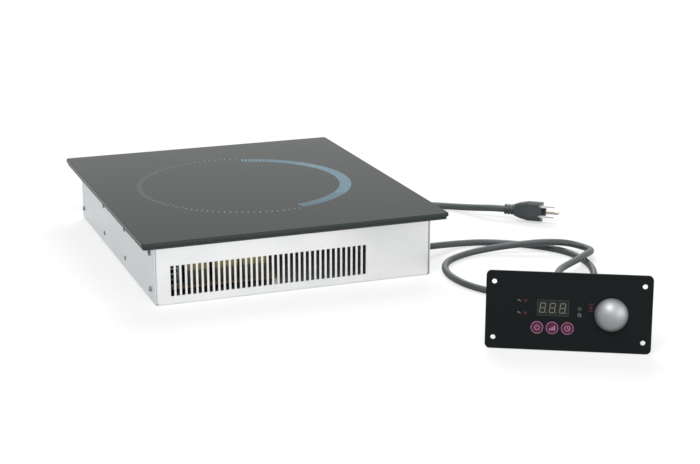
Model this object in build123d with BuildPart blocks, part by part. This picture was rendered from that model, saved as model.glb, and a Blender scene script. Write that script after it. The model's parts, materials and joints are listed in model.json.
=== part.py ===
from build123d import *
import math
import os

# Drop-in induction cooktop with a remote control panel on a cable and a mains cord with a plug.
# Millimetres, +Z up. The origin is the middle of the cooktop's base, and -Y is its slotted front.

# Glass top, its seal and the frame that carries it
GLASS_W = 350.0
GLASS_D = 407.0
GLASS_T = 4.0
GLASS_CORNER_R = 4.0
GLASS_BEVEL = 0.8
SEAL_T = 0.8
SEAL_W = 13.0
SEAL_INSET = 3.0
FRAME_T = 2.0
FRAME_INSET = 1.5
GROOVE_DEEP = 0.6
RIM_T = 1.5

# Sheet-metal housing: the glass overhangs it on all four sides
OVERHANG_SIDE = 16.0
OVERHANG_END = 16.5
HOUSING_W = GLASS_W - 2 * OVERHANG_SIDE
HOUSING_D = GLASS_D - 2 * OVERHANG_END
HOUSING_H = 68.2
SHEET = 1.2
BEND_R = 0.8
SHEET_GAP = 0.1
DRILL_L = 6.0
FLANGE_L = 26.0
FLANGE_TOP_GAP = 1.0

# Air slots in the front panel, counted from the left
SLOT_COUNT = 37
SLOT_PITCH = 6.09
SLOT_W = 3.7
SLOT_H = 33.8
SLOT_LOW = 9.3
SLOT_FIRST = 19.1

# Screws and rivets in the side walls
SCREW_HEAD_R = 3.2
SCREW_HEAD_TOP_R = 2.4
SCREW_HEAD_H = 1.7
SCREW_R = 1.75
SCREW_L = 7.0
SCREW_CLEAR = 0.15
RECESS_L = 2.8
RECESS_W = 0.8
RECESS_DEEP = 0.9
SCREW_LOW_Z = 14.0
SCREW_HIGH_Z = 54.0
SCREW_FRONT = 19.0
SCREW_REAR = 7.5
RIVET_HEAD_R = 3.0
RIVET_HEAD_H = 1.0
RIVET_R = 1.6
RIVET_EYE_R = 0.9
RIVET_EYE_DEEP = 0.7
RIVET_LOW_Z = 14.0
RIVET_HIGH_Z = 47.5

# Induction coil, hung under the glass
COIL_Y = 3.5
WIRE_D = 3.4
WIRE_GAP = 0.8
COIL_R_IN = 28.0
COIL_HALF_TURNS = 38
COIL_CLEAR = 0.2
MICA_T = 0.6
FORMER_T = 3.0
FORMER_RIM = 5.0
FORMER_HOLE_R = 12.0
FORMER_FOOT_R = 4.0
FORMER_FOOT_PCD = 110.0
FERRITE_COUNT = 8
FERRITE_L = 72.0
FERRITE_W = 14.0
FERRITE_T = 5.0
FERRITE_R_IN = 26.0
TRAY_W = 250.0
TRAY_D = 220.0
TRAY_T = 2.0
SENSOR_R = 4.5
SENSOR_T = 1.4
BUSH_SENSOR_R = 8.0
BRIDGE_W = 20.0
BRIDGE_FRONT_Y = -48.0
BRIDGE_REAR_Y = 60.0
BRIDGE_LEG_Z = 6.0

# Power electronics
BOARD_W = 140.0
BOARD_D = 128.0
BOARD_T = 1.6
BOARD_LEFT = 7.0
BOARD_FRONT = 22.0
SPACER_H = 8.0
SPACER_R = 3.0
SPACER_INSET = 5.0
SINK_W = 28.0
SINK_D = 100.0
SINK_H = 32.0
SINK_SPINE = 5.0
SINK_FIN_T = 1.6
SINK_FINS = 6
SINK_EDGE = 9.0
DEVICE_W = 16.0
DEVICE_H = 21.0
DEVICE_T = 5.0
DEVICE_LIFT = 5.0
LEAD_W = 1.2
LEAD_T = 0.6
RECTIFIER_W = 28.0
CAP_COUNT = 3
CAP_W = 27.0
CAP_D = 16.0
CAP_H = 31.0
CAP_PITCH = 32.0
CAP_EDGE = 3.0
CAP_R = 1.5
CHOKE_R = 15.0
CHOKE_HOLE_R = 6.0
CHOKE_H = 14.0
CHOKE_EDGE = 24.0
TERMINAL_W = 42.0
TERMINAL_D = 18.0
TERMINAL_H = 17.0
TERMINAL_POLES = 3
TERMINAL_BACK = 46.0
EARTH_R = 2.0
EARTH_H = 12.0
EARTH_NUT_R = 4.0
EARTH_NUT_H = 3.2
EARTH_ASIDE = 36.0

# Cooling fan under an air duct
FAN_SIZE = 92.0
FAN_T = 25.0
FAN_CORNER_R = 4.0
FAN_RIM = 3.0
FAN_LEFT = 28.0
FAN_BACK = 36.0
FAN_HOLE_INSET = 4.75
FAN_SCREW_R = 1.9
FAN_HEAD_R = 3.0
FAN_HEAD_TOP_R = 2.2
FAN_HUB_R = 18.0
FAN_STRUT_W = 5.0
FAN_STRUT_T = 3.0
FAN_TIP_GAP = 2.5
FAN_FLOAT = 1.5
FAN_BLADES = 7
FAN_BLADE_CHORD = 22.0
FAN_BLADE_T = 1.6
FAN_BLADE_PITCH = 35.0
FAN_BLADE_LAP = 1.0
AXLE_R = 1.5
AXLE_CLEAR = 0.05
BEARING_R = 4.0
CUP_WALL = 2.0
INLET_RINGS = 4
INLET_STEP = 9.0
INLET_SLOT_W = 4.5
INLET_BAR_W = 8.0
INLET_BAR_ANGLE = 45.0
DUCT_H = 22.0
DUCT_WALL = 1.5

# Remote control panel: the plate stands on the floor and leans back on its rear box
PANEL_X = 185.9
PANEL_Y = -461.8
PANEL_YAW = -27.9
PANEL_W = 162.0
PANEL_H = 78.0
PANEL_T = 2.5
PANEL_CORNER_R = 5.0
HOLE_R = 2.5
HOLE_DX = 146.0
HOLE_DY = 56.0
BOX_W = 130.0
BOX_H = 60.0
BOX_FOOT = 6.0
BOX_DEPTH = 48.0
BOX_WALL = 1.6
BOX_CORNER_R = 4.0
PANEL_FIT = 0.1

# Controls on the panel, measured from the middle of its face
WINDOW_X = -15.1
WINDOW_Y = 3.5
WINDOW_W = 31.4
WINDOW_H = 16.3
WINDOW_CORNER_R = 0.8
WINDOW_LIP = 1.5
WINDOW_LIP_T = 1.0
DIGIT_MARGIN = 1.0
KEY_NAMES = ("on_off_key", "mode_key", "timer_key")
KEY_X = -15.4
KEY_Y = -16.3
KEY_R = 6.2
KEY_PROUD = 0.5
KEY_EDGE_R = 0.25
KEY_CLEAR = 0.3
KEY_LIP = 0.8
KEY_LIP_T = 1.0
KEY_LIP_GAP = 0.1
KEY_SPACE = 0.8
KEY_STEM_R = 1.6
KEY_STEM_IN = 0.6
KEY_TRAVEL = 0.8
SWITCH_W = 6.0
SWITCH_H = 4.0
LIGHT_SPOTS = ((-42.1, 9.8), (-42.1, -2.4), (10.7, 3.6), (21.6, 5.2))
LIGHT_R = 1.9
KNOB_X = 41.4
KNOB_Y = -0.6
KNOB_R = 16.35
KNOB_H = 14.0
KNOB_SKIRT = 3.0
KNOB_GAP = 0.8
KNOB_WALL = 2.4
KNOB_HOLLOW = 5.0
KNOB_BOSS_R = 6.0
SHAFT_R = 3.0
SHAFT_CLEAR = 0.05
SHAFT_OUT = 11.0
SHAFT_IN = 4.0
SHAFT_END_GAP = 0.5
BUSH_R = 3.5
BUSH_OUT = 3.0
NUT_R = 5.8
NUT_H = 2.0
ENCODER_W = 13.0
ENCODER_H = 12.0
CONTROL_GAP = 8.0
CONTROL_T = 1.6
CONTROL_EDGE = 4.0
POST_R = 3.0
POST_INSET = 6.0
BOX_SCREW_R = 1.4
BOX_SCREW_L = 8.0
BOX_SCREW_HEAD_R = 2.7
BOX_SCREW_HEAD_TOP_R = 2.0
BOX_SCREW_HEAD_H = 1.6

# Cable glands and the mains strain relief
GLAND_NECK_R = 6.5
GLAND_NUT_R = 8.8
GLAND_NUT_T = 4.0
GLAND_R = 9.0
GLAND_COLLAR = 5.0
GLAND_OUT = 14.0
GLAND_LIP = 1.4
RELIEF_X = 63.6
RELIEF_Z = 13.0
RELIEF_R = 10.0
RELIEF_OUT = 30.0
CONTROL_EXIT_Y = -120.0
CONTROL_EXIT_Z = 11.0

# Cords: routes run along the centre line, and the floor is at z = 0
CABLE_D = 7.8
CORD_D = 8.6
FLOOR_GAP = 0.1
ARC_SHARE = 0.45
CORD_COIL_X = 124.0
CORD_COIL_Y = 278.0
CORD_COIL_R = 60.4
CORD_COIL_PITCH = 11.0
CORD_LAYER = 9.1
CORD_LAYER_HALF_TURNS = 4
TIE_T = 1.2
TIE_W = 10.0
TIE_GAP = 0.4
COIL_SAMPLES = 900
COIL_APART = 60.0

# Mains plug with two blades and a round earth pin, lying on its side
PLUG_X = 340.3
PLUG_Y = -10.8
PLUG_HEADING = -38.0
PLUG_ROLL = 16.0
BOOT_R = 6.65
BOOT_L = 12.3
BOOT_RIBS = 3
BOOT_GROOVE = 0.9
PLUG_BACK_W = 15.0
PLUG_W = 25.0
PLUG_THICK = 20.0
PLUG_CORNER_R = 5.0
PLUG_SHOULDER_W = 20.6
PLUG_SHOULDER_THICK = 17.8
PLUG_SHOULDER_L = 8.0
PLUG_L = 35.0
PLUG_TAPER_L = 18.0
NOSE_W = 10.0
NOSE_L = 4.0
WING_L = 3.0
BLADE_GAP = 12.7
BLADE_W = 6.35
BLADE_T = 1.5
BLADE_L = 15.9
BLADE_ROOT = 6.0
BLADE_ASIDE = 5.5
EARTH_PIN_R = 2.4
EARTH_ROOT_R = 1.8
EARTH_PIN_L = 21.0
EARTH_TIP_R = 1.2
EARTH_TIP_L = 2.0
EARTH_PIN_ASIDE = 6.4

ON = (Align.CENTER, Align.CENTER, Align.MIN)
UNDER = (Align.CENTER, Align.CENTER, Align.MAX)
OUTWARD = (Align.MIN, Align.CENTER, Align.CENTER)

# Heights, worked out from the base up to the glass and from the glass down to the coil's carriers
frame_z = HOUSING_H
seal_z = frame_z + FRAME_T
glass_z = seal_z + SEAL_T
mica_z = glass_z - MICA_T
wire_z = mica_z - COIL_CLEAR - WIRE_D / 2
former_z = wire_z - WIRE_D / 2 - SHEET_GAP - FORMER_T
ferrite_z = former_z - FERRITE_T
tray_z = ferrite_z - TRAY_T
board_z = SHEET + SPACER_H
board_top = board_z + BOARD_T

# Places across the housing
inner_w = HOUSING_W - 2 * (SHEET + SHEET_GAP)
inner_d = HOUSING_D - 2 * (SHEET + SHEET_GAP)
front_y = -HOUSING_D / 2
rear_y = HOUSING_D / 2
board_x = -HOUSING_W / 2 + BOARD_LEFT + BOARD_W / 2
board_y = front_y + BOARD_FRONT + BOARD_D / 2
fan_x = -HOUSING_W / 2 + FAN_LEFT + FAN_SIZE / 2
fan_y = rear_y - FAN_BACK - FAN_SIZE / 2
coil_r_out = COIL_R_IN + COIL_HALF_TURNS * (WIRE_D + WIRE_GAP) / 2
cable_r = CABLE_D / 2
cord_r = CORD_D / 2

os.makedirs("parts", exist_ok=True)


def keep(piece, name):
    """Label a finished piece and write it as its own STEP file."""
    piece.part.label = name
    export_step(piece.part, f"parts/{name}.step")


def turned(plane, outline):
    """A solid turned about the plane's normal from (radius, height) corners."""
    with BuildPart() as piece:
        with BuildSketch(Plane(origin=plane.origin, x_dir=plane.x_dir, z_dir=-plane.y_dir)):
            with BuildLine():
                Polyline(*outline, close=True)
            make_face()
        revolve(axis=Axis(plane.origin, plane.z_dir))
    return piece


def side_spots(places):
    """Planes on the left and right walls that face outwards, at each (y, z) place."""
    spots = []
    for side in (-1, 1):
        for y, z in places:
            at = (side * HOUSING_W / 2, y, z)
            spots.append(Plane(origin=at, x_dir=(0, side, 0), z_dir=(side, 0, 0)))
    return spots


def cross_screws(spots, head_r, head_top_r, head_h, shank_r, shank_l):
    """Pan-head screws with a cross recess, one on each plane, heads outwards."""
    with BuildPart() as screws:
        with Locations(*spots):
            Cone(head_r, head_top_r, head_h, align=ON)
            Cylinder(shank_r, shank_l, align=UNDER)
        with Locations(*[spot.offset(head_h) for spot in spots]):
            Box(RECESS_L, RECESS_W, RECESS_DEEP, align=UNDER, mode=Mode.SUBTRACT)
            Box(RECESS_W, RECESS_L, RECESS_DEEP, align=UNDER, mode=Mode.SUBTRACT)
    return screws


def gland(plane, wall, tube_r, collar_r, out):
    """A cable gland through a wall: nut inside, collar and tapered nose outside."""
    nose_r = tube_r + GLAND_LIP
    return turned(plane, [
        (0, -wall - GLAND_NUT_T),
        (GLAND_NUT_R, -wall - GLAND_NUT_T),
        (GLAND_NUT_R, -wall),
        (GLAND_NECK_R, -wall),
        (GLAND_NECK_R, 0),
        (collar_r, 0),
        (collar_r, GLAND_COLLAR),
        (nose_r, out),
        (0, out),
    ])


def tube(path, diameter):
    """A round tube along a path."""
    with BuildPart() as piece:
        with BuildSketch(Plane(origin=path @ 0, z_dir=path % 0)):
            Circle(diameter / 2)
        sweep(path=path)
    return piece


def cord_path(name, points):
    """Straight runs joined by arcs, each as large as its two runs allow."""
    runs = [there - here for here, there in zip(points, points[1:])]
    radii = []
    for before, after in zip(runs, runs[1:]):
        half_turn = math.radians(before.get_angle(after)) / 2
        radii.append(ARC_SHARE * min(before.length, after.length) / math.tan(half_turn))
    with BuildLine() as path:
        FilletPolyline(*points, radius=radii)
    route = path.wires()[0]
    print(name, "length", round(route.length, 1), "radii", [round(radius) for radius in radii])
    return route


def coil_path(ends, lead):
    """Half circles through ends in line along X, with a straight lead along Y at each end."""
    with BuildLine() as path:
        way = Vector(0, 1, 0)
        Line(ends[0] - way * lead, ends[0])
        for here, there in zip(ends, ends[1:]):
            middle = (here + there) * 0.5 + way * ((there - here).length / 2)
            ThreePointArc(here, middle, there)
            way = way * -1
        Line(ends[-1], ends[-1] + way * lead)
    return path.wires()[0]


def report_gap(name, path, diameter):
    """Print the least gap between the turns of a wound tube, measured on points along it."""
    points = [path.position_at(step / COIL_SAMPLES) for step in range(COIL_SAMPLES + 1)]
    skip = math.ceil(COIL_APART * COIL_SAMPLES / path.length)
    least = min(
        (points[here] - points[there]).length
        for here in range(len(points))
        for there in range(here + skip, len(points))
    )
    print(name, "length", round(path.length, 1), "least gap", round(least - diameter, 2))


# Glass top, its seal and its frame

with BuildPart() as glass_top:
    with BuildSketch(Plane.XY.offset(glass_z)):
        RectangleRounded(GLASS_W, GLASS_D, GLASS_CORNER_R)
    extrude(amount=GLASS_T)
    chamfer(glass_top.faces().sort_by(Axis.Z)[-1].edges(), GLASS_BEVEL)
keep(glass_top, "glass_top")

seal_w = GLASS_W - 2 * SEAL_INSET
seal_d = GLASS_D - 2 * SEAL_INSET
with BuildPart() as glass_seal:
    with BuildSketch(Plane.XY.offset(seal_z)):
        RectangleRounded(seal_w, seal_d, GLASS_CORNER_R)
        Rectangle(seal_w - 2 * SEAL_W, seal_d - 2 * SEAL_W, mode=Mode.SUBTRACT)
    extrude(amount=SEAL_T)
keep(glass_seal, "glass_seal")

# The walls' top edges sit in a groove in the frame's flat underside
with BuildPart() as top_frame:
    with BuildSketch(Plane.XY.offset(frame_z - GROOVE_DEEP)):
        RectangleRounded(GLASS_W - 2 * FRAME_INSET, GLASS_D - 2 * FRAME_INSET, GLASS_CORNER_R)
        Rectangle(inner_w - 2 * RIM_T, inner_d - 2 * RIM_T, mode=Mode.SUBTRACT)
    extrude(amount=GROOVE_DEEP + FRAME_T)
    with BuildSketch(Plane.XY.offset(frame_z - GROOVE_DEEP)):
        Rectangle(HOUSING_W + 2 * SHEET_GAP, HOUSING_D + 2 * SHEET_GAP)
        Rectangle(inner_w, inner_d, mode=Mode.SUBTRACT)
    extrude(amount=GROOVE_DEEP, mode=Mode.SUBTRACT)
keep(top_frame, "top_frame")

# Housing of bent sheet: floor and side walls, front, rear, and the two bridges that carry the coil

screw_places = [
    (y, z)
    for y in (front_y + SCREW_FRONT, rear_y - SCREW_REAR)
    for z in (SCREW_LOW_Z, SCREW_HIGH_Z)
]
rivet_places = [
    (y, z)
    for y in (BRIDGE_FRONT_Y, BRIDGE_REAR_Y)
    for z in (RIVET_LOW_Z, RIVET_HIGH_Z)
]
screw_spots = side_spots(screw_places)
rivet_spots = side_spots(rivet_places)
screw_hole_r = SCREW_R + SCREW_CLEAR
rivet_hole_r = RIVET_R + SCREW_CLEAR
control_spot = Plane(
    origin=(HOUSING_W / 2, CONTROL_EXIT_Y, CONTROL_EXIT_Z), x_dir=(0, 1, 0), z_dir=(1, 0, 0)
)
relief_spot = Plane(origin=(RELIEF_X, rear_y, RELIEF_Z), x_dir=(-1, 0, 0), z_dir=(0, 1, 0))
fan_plane = Plane(origin=(fan_x, fan_y, SHEET))
fan_hole_pitch = FAN_SIZE - 2 * FAN_HOLE_INSET
fan_bore_r = FAN_SIZE / 2 - FAN_RIM

with BuildPart() as chassis:
    with BuildSketch(Plane.XZ):
        with BuildLine():
            wall_x = (HOUSING_W - SHEET) / 2
            FilletPolyline(
                (-wall_x, HOUSING_H),
                (-wall_x, SHEET / 2),
                (wall_x, SHEET / 2),
                (wall_x, HOUSING_H),
                radius=BEND_R + SHEET / 2,
            )
        trace(line_width=SHEET)
    extrude(amount=HOUSING_D / 2, both=True)
    with Locations(*screw_spots):
        Cylinder(screw_hole_r, DRILL_L, mode=Mode.SUBTRACT)
    with Locations(*rivet_spots):
        Cylinder(rivet_hole_r, DRILL_L, mode=Mode.SUBTRACT)
    with Locations(control_spot):
        Cylinder(GLAND_NECK_R + SHEET_GAP, DRILL_L, mode=Mode.SUBTRACT)
    with BuildSketch(Plane(origin=(fan_x, fan_y, 0))):
        for ring in range(INLET_RINGS):
            ring_r = fan_bore_r - ring * INLET_STEP
            Circle(ring_r)
            Circle(ring_r - INLET_SLOT_W, mode=Mode.SUBTRACT)
        with PolarLocations(0, 2, start_angle=INLET_BAR_ANGLE, angular_range=180):
            Rectangle(2 * FAN_SIZE, INLET_BAR_W, mode=Mode.SUBTRACT)
    extrude(amount=SHEET, mode=Mode.SUBTRACT)
    with Locations(fan_plane):
        with GridLocations(fan_hole_pitch, fan_hole_pitch, 2, 2):
            Cylinder(FAN_SCREW_R + SCREW_CLEAR, DRILL_L, mode=Mode.SUBTRACT)
keep(chassis, "chassis")


def end_panel(facing):
    """The front (-1) or rear (+1) panel: a face with two flanges bent back inside the side walls."""
    face_y = facing * (HOUSING_D - SHEET) / 2
    flange_x = (inner_w - SHEET) / 2
    low = SHEET + BEND_R + SHEET_GAP
    with BuildPart() as panel:
        with BuildSketch(Plane.XY.offset(low)):
            with BuildLine():
                FilletPolyline(
                    (-flange_x, face_y - facing * FLANGE_L),
                    (-flange_x, face_y),
                    (flange_x, face_y),
                    (flange_x, face_y - facing * FLANGE_L),
                    radius=BEND_R + SHEET / 2,
                )
            trace(line_width=SHEET)
        extrude(amount=HOUSING_H - low)
        rim_room = GROOVE_DEEP + FLANGE_TOP_GAP
        with Locations((0, face_y - facing * (SHEET / 2 + FLANGE_L), HOUSING_H)):
            Box(HOUSING_W, 2 * FLANGE_L, rim_room, align=UNDER, mode=Mode.SUBTRACT)
        with Locations((0, face_y, SHEET + SHEET_GAP)):
            Box(inner_w - 2 * (SHEET + BEND_R), SHEET, BEND_R + SHEET, align=ON)
        with Locations(*[spot.offset(-SHEET) for spot in screw_spots]):
            Cylinder(screw_hole_r, DRILL_L, mode=Mode.SUBTRACT)
    return panel


with BuildPart() as front_panel:
    add(end_panel(-1).part)
    with BuildSketch(Plane.XZ.offset(HOUSING_D / 2)):
        for slot in range(SLOT_COUNT):
            slot_x = -HOUSING_W / 2 + SLOT_FIRST + slot * SLOT_PITCH
            with Locations((slot_x, SLOT_LOW + SLOT_H / 2)):
                Rectangle(SLOT_W, SLOT_H)
    extrude(amount=-SHEET, mode=Mode.SUBTRACT)
keep(front_panel, "front_panel")

with BuildPart() as rear_panel:
    add(end_panel(1).part)
    with Locations(relief_spot):
        Cylinder(GLAND_NECK_R + SHEET_GAP, DRILL_L, mode=Mode.SUBTRACT)
keep(rear_panel, "rear_panel")

casing_screws = cross_screws(
    screw_spots, SCREW_HEAD_R, SCREW_HEAD_TOP_R, SCREW_HEAD_H, SCREW_R, SCREW_L
)
keep(casing_screws, "casing_screws")

for name, bridge_y in (("front_bridge", BRIDGE_FRONT_Y), ("rear_bridge", BRIDGE_REAR_Y)):
    with BuildPart() as bridge:
        with BuildSketch(Plane.XZ.offset(-bridge_y)):
            with BuildLine():
                leg_x = (inner_w - SHEET) / 2
                bar_z = tray_z - SHEET / 2
                FilletPolyline(
                    (-leg_x, BRIDGE_LEG_Z),
                    (-leg_x, bar_z),
                    (leg_x, bar_z),
                    (leg_x, BRIDGE_LEG_Z),
                    radius=BEND_R + SHEET / 2,
                )
            trace(line_width=SHEET)
        extrude(amount=BRIDGE_W / 2, both=True)
        with Locations(*[spot.offset(-SHEET) for spot in rivet_spots]):
            Cylinder(rivet_hole_r, DRILL_L, mode=Mode.SUBTRACT)
    keep(bridge, name)

grip = 2 * SHEET + SHEET_GAP
with BuildPart() as bridge_rivets:
    with Locations(*rivet_spots):
        Cone(RIVET_HEAD_R, RIVET_HEAD_R - RIVET_HEAD_H, RIVET_HEAD_H, align=ON)
        Cylinder(RIVET_R, grip, align=UNDER)
    with Locations(*[spot.offset(-grip) for spot in rivet_spots]):
        Cylinder(RIVET_HEAD_R - RIVET_HEAD_H, RIVET_HEAD_H, align=UNDER)
    with Locations(*[spot.offset(RIVET_HEAD_H) for spot in rivet_spots]):
        Cylinder(RIVET_EYE_R, RIVET_EYE_DEEP, align=UNDER, mode=Mode.SUBTRACT)
keep(bridge_rivets, "bridge_rivets")

# Induction coil with its carriers and its temperature sensor

coil_plane = Plane(origin=(0, COIL_Y, 0))

with BuildPart() as mica_sheet:
    with BuildSketch(coil_plane.offset(mica_z)):
        Circle(coil_r_out + WIRE_D)
        Circle(FORMER_HOLE_R, mode=Mode.SUBTRACT)
    extrude(amount=MICA_T)
keep(mica_sheet, "mica_sheet")

wire_step = (WIRE_D + WIRE_GAP) / 2
wire_ends = [
    Vector((-1) ** turn * (COIL_R_IN + turn * wire_step), COIL_Y, wire_z)
    for turn in range(COIL_HALF_TURNS + 1)
]
winding_path = coil_path(wire_ends, WIRE_D)
report_gap("coil_winding", winding_path, WIRE_D)
coil_winding = tube(winding_path, WIRE_D)
keep(coil_winding, "coil_winding")

with BuildPart() as coil_former:
    with BuildSketch(coil_plane.offset(former_z)):
        Circle(coil_r_out + WIRE_D + FORMER_RIM)
        Circle(FORMER_HOLE_R, mode=Mode.SUBTRACT)
    extrude(amount=FORMER_T)
    with BuildSketch(coil_plane.offset(ferrite_z)):
        with PolarLocations(FORMER_FOOT_PCD / 2, FERRITE_COUNT, start_angle=180 / FERRITE_COUNT):
            Circle(FORMER_FOOT_R)
    extrude(amount=FERRITE_T)
keep(coil_former, "coil_former")

with BuildPart() as ferrite_bars:
    with BuildSketch(coil_plane.offset(ferrite_z)):
        with PolarLocations(FERRITE_R_IN, FERRITE_COUNT):
            Rectangle(FERRITE_L, FERRITE_W, align=(Align.MIN, Align.CENTER))
    extrude(amount=FERRITE_T)
keep(ferrite_bars, "ferrite_bars")

with BuildPart() as coil_tray:
    with BuildSketch(coil_plane.offset(tray_z)):
        RectangleRounded(TRAY_W, TRAY_D, GLASS_CORNER_R)
    extrude(amount=TRAY_T)
keep(coil_tray, "coil_tray")

with BuildPart() as sensor_bush:
    with BuildSketch(coil_plane.offset(ferrite_z)):
        Circle(BUSH_SENSOR_R)
    extrude(amount=glass_z - SENSOR_T - ferrite_z)
keep(sensor_bush, "sensor_bush")

with BuildPart() as temperature_sensor:
    with BuildSketch(coil_plane.offset(glass_z - SENSOR_T)):
        Circle(SENSOR_R)
    extrude(amount=SENSOR_T)
keep(temperature_sensor, "temperature_sensor")

# Power board and what stands on it

spacer_dx = BOARD_W - 2 * SPACER_INSET
spacer_dy = BOARD_D - 2 * SPACER_INSET
board_plane = Plane(origin=(board_x, board_y, board_z))

with BuildPart() as board_spacers:
    with BuildSketch(Plane(origin=(board_x, board_y, SHEET))):
        with GridLocations(spacer_dx, spacer_dy, 2, 2):
            Circle(SPACER_R)
    extrude(amount=SPACER_H)
keep(board_spacers, "board_spacers")

with BuildPart() as power_board:
    with BuildSketch(board_plane):
        Rectangle(BOARD_W, BOARD_D)
    extrude(amount=BOARD_T)
keep(power_board, "power_board")

sink_left = board_x - BOARD_W / 2 + SPACER_R
sink_right = sink_left + SINK_W
sink_front = board_y - BOARD_D / 2 + SINK_EDGE
fin_pitch = (SINK_H - SINK_FIN_T) / (SINK_FINS - 1)
with BuildPart() as heat_sink:
    with BuildSketch(Plane.XZ.offset(-sink_front)):
        with Locations((sink_right, board_top)):
            Rectangle(SINK_SPINE, SINK_H, align=(Align.MAX, Align.MIN))
        for fin in range(SINK_FINS):
            with Locations((sink_right, board_top + fin * fin_pitch)):
                Rectangle(SINK_W, SINK_FIN_T, align=(Align.MAX, Align.MIN))
    extrude(amount=-SINK_D)
keep(heat_sink, "heat_sink")


def sink_device(y, width, leads):
    """A flat power package clamped to the sink's spine, with leads down to the board."""
    bottom = board_top + DEVICE_LIFT
    with Locations((sink_right, y, bottom)):
        Box(DEVICE_T, width, DEVICE_H, align=(Align.MIN, Align.CENTER, Align.MIN))
    for lead in range(leads):
        lead_y = y + width * ((lead + 0.5) / leads - 0.5)
        with Locations((sink_right + DEVICE_T / 2, lead_y, board_top)):
            Box(LEAD_T, LEAD_W, DEVICE_LIFT, align=ON)


device_pitch = SINK_D / 3
with BuildPart() as power_transistors:
    sink_device(sink_front + 1.1 * device_pitch, DEVICE_W, 3)
    sink_device(sink_front + 1.9 * device_pitch, DEVICE_W, 3)
keep(power_transistors, "power_transistors")

with BuildPart() as bridge_rectifier:
    sink_device(sink_front + SINK_D - RECTIFIER_W / 2, RECTIFIER_W, 4)
keep(bridge_rectifier, "bridge_rectifier")

cap_first = sink_right + CAP_EDGE + CAP_W / 2
cap_y = board_y - BOARD_D / 2 + CAP_EDGE + CAP_D / 2
with BuildPart() as film_capacitors:
    with BuildSketch(Plane.XY.offset(board_top)):
        for cap in range(CAP_COUNT):
            with Locations((cap_first + cap * CAP_PITCH, cap_y)):
                RectangleRounded(CAP_W, CAP_D, CAP_R)
    extrude(amount=CAP_H)
keep(film_capacitors, "film_capacitors")

choke_x = board_x + BOARD_W / 2 - CHOKE_EDGE
choke_y = board_y + BOARD_D / 2 - CHOKE_EDGE
with BuildPart() as filter_choke:
    with BuildSketch(Plane.XY.offset(board_top)):
        with Locations((choke_x, choke_y)):
            Circle(CHOKE_R)
            Circle(CHOKE_HOLE_R, mode=Mode.SUBTRACT)
    extrude(amount=CHOKE_H)
keep(filter_choke, "filter_choke")

terminal_y = rear_y - TERMINAL_BACK
pole_pitch = TERMINAL_W / TERMINAL_POLES
with BuildPart() as terminal_block:
    with Locations((RELIEF_X, terminal_y, SHEET)):
        Box(TERMINAL_W, TERMINAL_D, TERMINAL_H, align=ON)
    with Locations((RELIEF_X, terminal_y, SHEET + TERMINAL_H)):
        with GridLocations(pole_pitch, 1, TERMINAL_POLES, 1):
            Cylinder(pole_pitch / 4, TERMINAL_H / 2, align=UNDER, mode=Mode.SUBTRACT)
keep(terminal_block, "terminal_block")

with BuildPart() as earth_stud:
    with Locations((RELIEF_X + EARTH_ASIDE, terminal_y, SHEET)):
        Cylinder(EARTH_R, EARTH_H, align=ON)
    with BuildSketch(Plane.XY.offset(SHEET)):
        with Locations((RELIEF_X + EARTH_ASIDE, terminal_y)):
            RegularPolygon(EARTH_NUT_R, 6)
    extrude(amount=EARTH_NUT_H)
keep(earth_stud, "earth_stud")

# Fan: frame with spider and bearing, impeller on its axle, screws and the duct above

strut_z = FAN_T - FAN_STRUT_T
cup_top = strut_z - FAN_FLOAT
with BuildPart() as fan_frame:
    with BuildSketch(fan_plane):
        RectangleRounded(FAN_SIZE, FAN_SIZE, FAN_CORNER_R)
        Circle(fan_bore_r, mode=Mode.SUBTRACT)
        with GridLocations(fan_hole_pitch, fan_hole_pitch, 2, 2):
            Circle(FAN_SCREW_R + SCREW_CLEAR, mode=Mode.SUBTRACT)
    extrude(amount=FAN_T)
    with BuildSketch(fan_plane.offset(strut_z)):
        Circle(FAN_HUB_R)
        with PolarLocations(0, 4, start_angle=45):
            Rectangle(fan_bore_r + FAN_RIM / 2, FAN_STRUT_W, align=(Align.MIN, Align.CENTER))
    extrude(amount=FAN_STRUT_T)
    with BuildSketch(fan_plane.offset(2 * FAN_FLOAT + CUP_WALL)):
        Circle(BEARING_R)
    extrude(amount=strut_z - 2 * FAN_FLOAT - CUP_WALL)
    with BuildSketch(fan_plane.offset(2 * FAN_FLOAT + CUP_WALL)):
        Circle(AXLE_R + AXLE_CLEAR)
    extrude(amount=strut_z - 2 * FAN_FLOAT - CUP_WALL, mode=Mode.SUBTRACT)
keep(fan_frame, "fan_frame")

blade_l = fan_bore_r - FAN_TIP_GAP - FAN_HUB_R + FAN_BLADE_LAP
with BuildPart() as fan_impeller:
    with Locations(fan_plane.offset(FAN_FLOAT)):
        Cylinder(FAN_HUB_R, cup_top - FAN_FLOAT, align=ON)
    with Locations(fan_plane.offset(cup_top)):
        Cylinder(FAN_HUB_R - CUP_WALL, cup_top - FAN_FLOAT - CUP_WALL, align=UNDER, mode=Mode.SUBTRACT)
    with Locations(fan_plane.offset(FAN_FLOAT + CUP_WALL)):
        Cylinder(AXLE_R, strut_z - 2 * FAN_FLOAT - CUP_WALL, align=ON)
    with Locations(fan_plane.offset((FAN_FLOAT + cup_top) / 2)):
        with PolarLocations(FAN_HUB_R - FAN_BLADE_LAP, FAN_BLADES):
            Box(blade_l, FAN_BLADE_CHORD, FAN_BLADE_T, rotation=(FAN_BLADE_PITCH, 0, 0), align=OUTWARD)
keep(fan_impeller, "fan_impeller")

duct_plane = fan_plane.offset(FAN_T)
with BuildPart() as air_duct:
    with Locations(duct_plane):
        Box(FAN_SIZE, FAN_SIZE, DUCT_H, align=ON)
        with Locations((0, -DUCT_WALL, 0)):
            Box(FAN_SIZE - 2 * DUCT_WALL, FAN_SIZE, DUCT_H - DUCT_WALL, align=ON, mode=Mode.SUBTRACT)
keep(air_duct, "air_duct")

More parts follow.
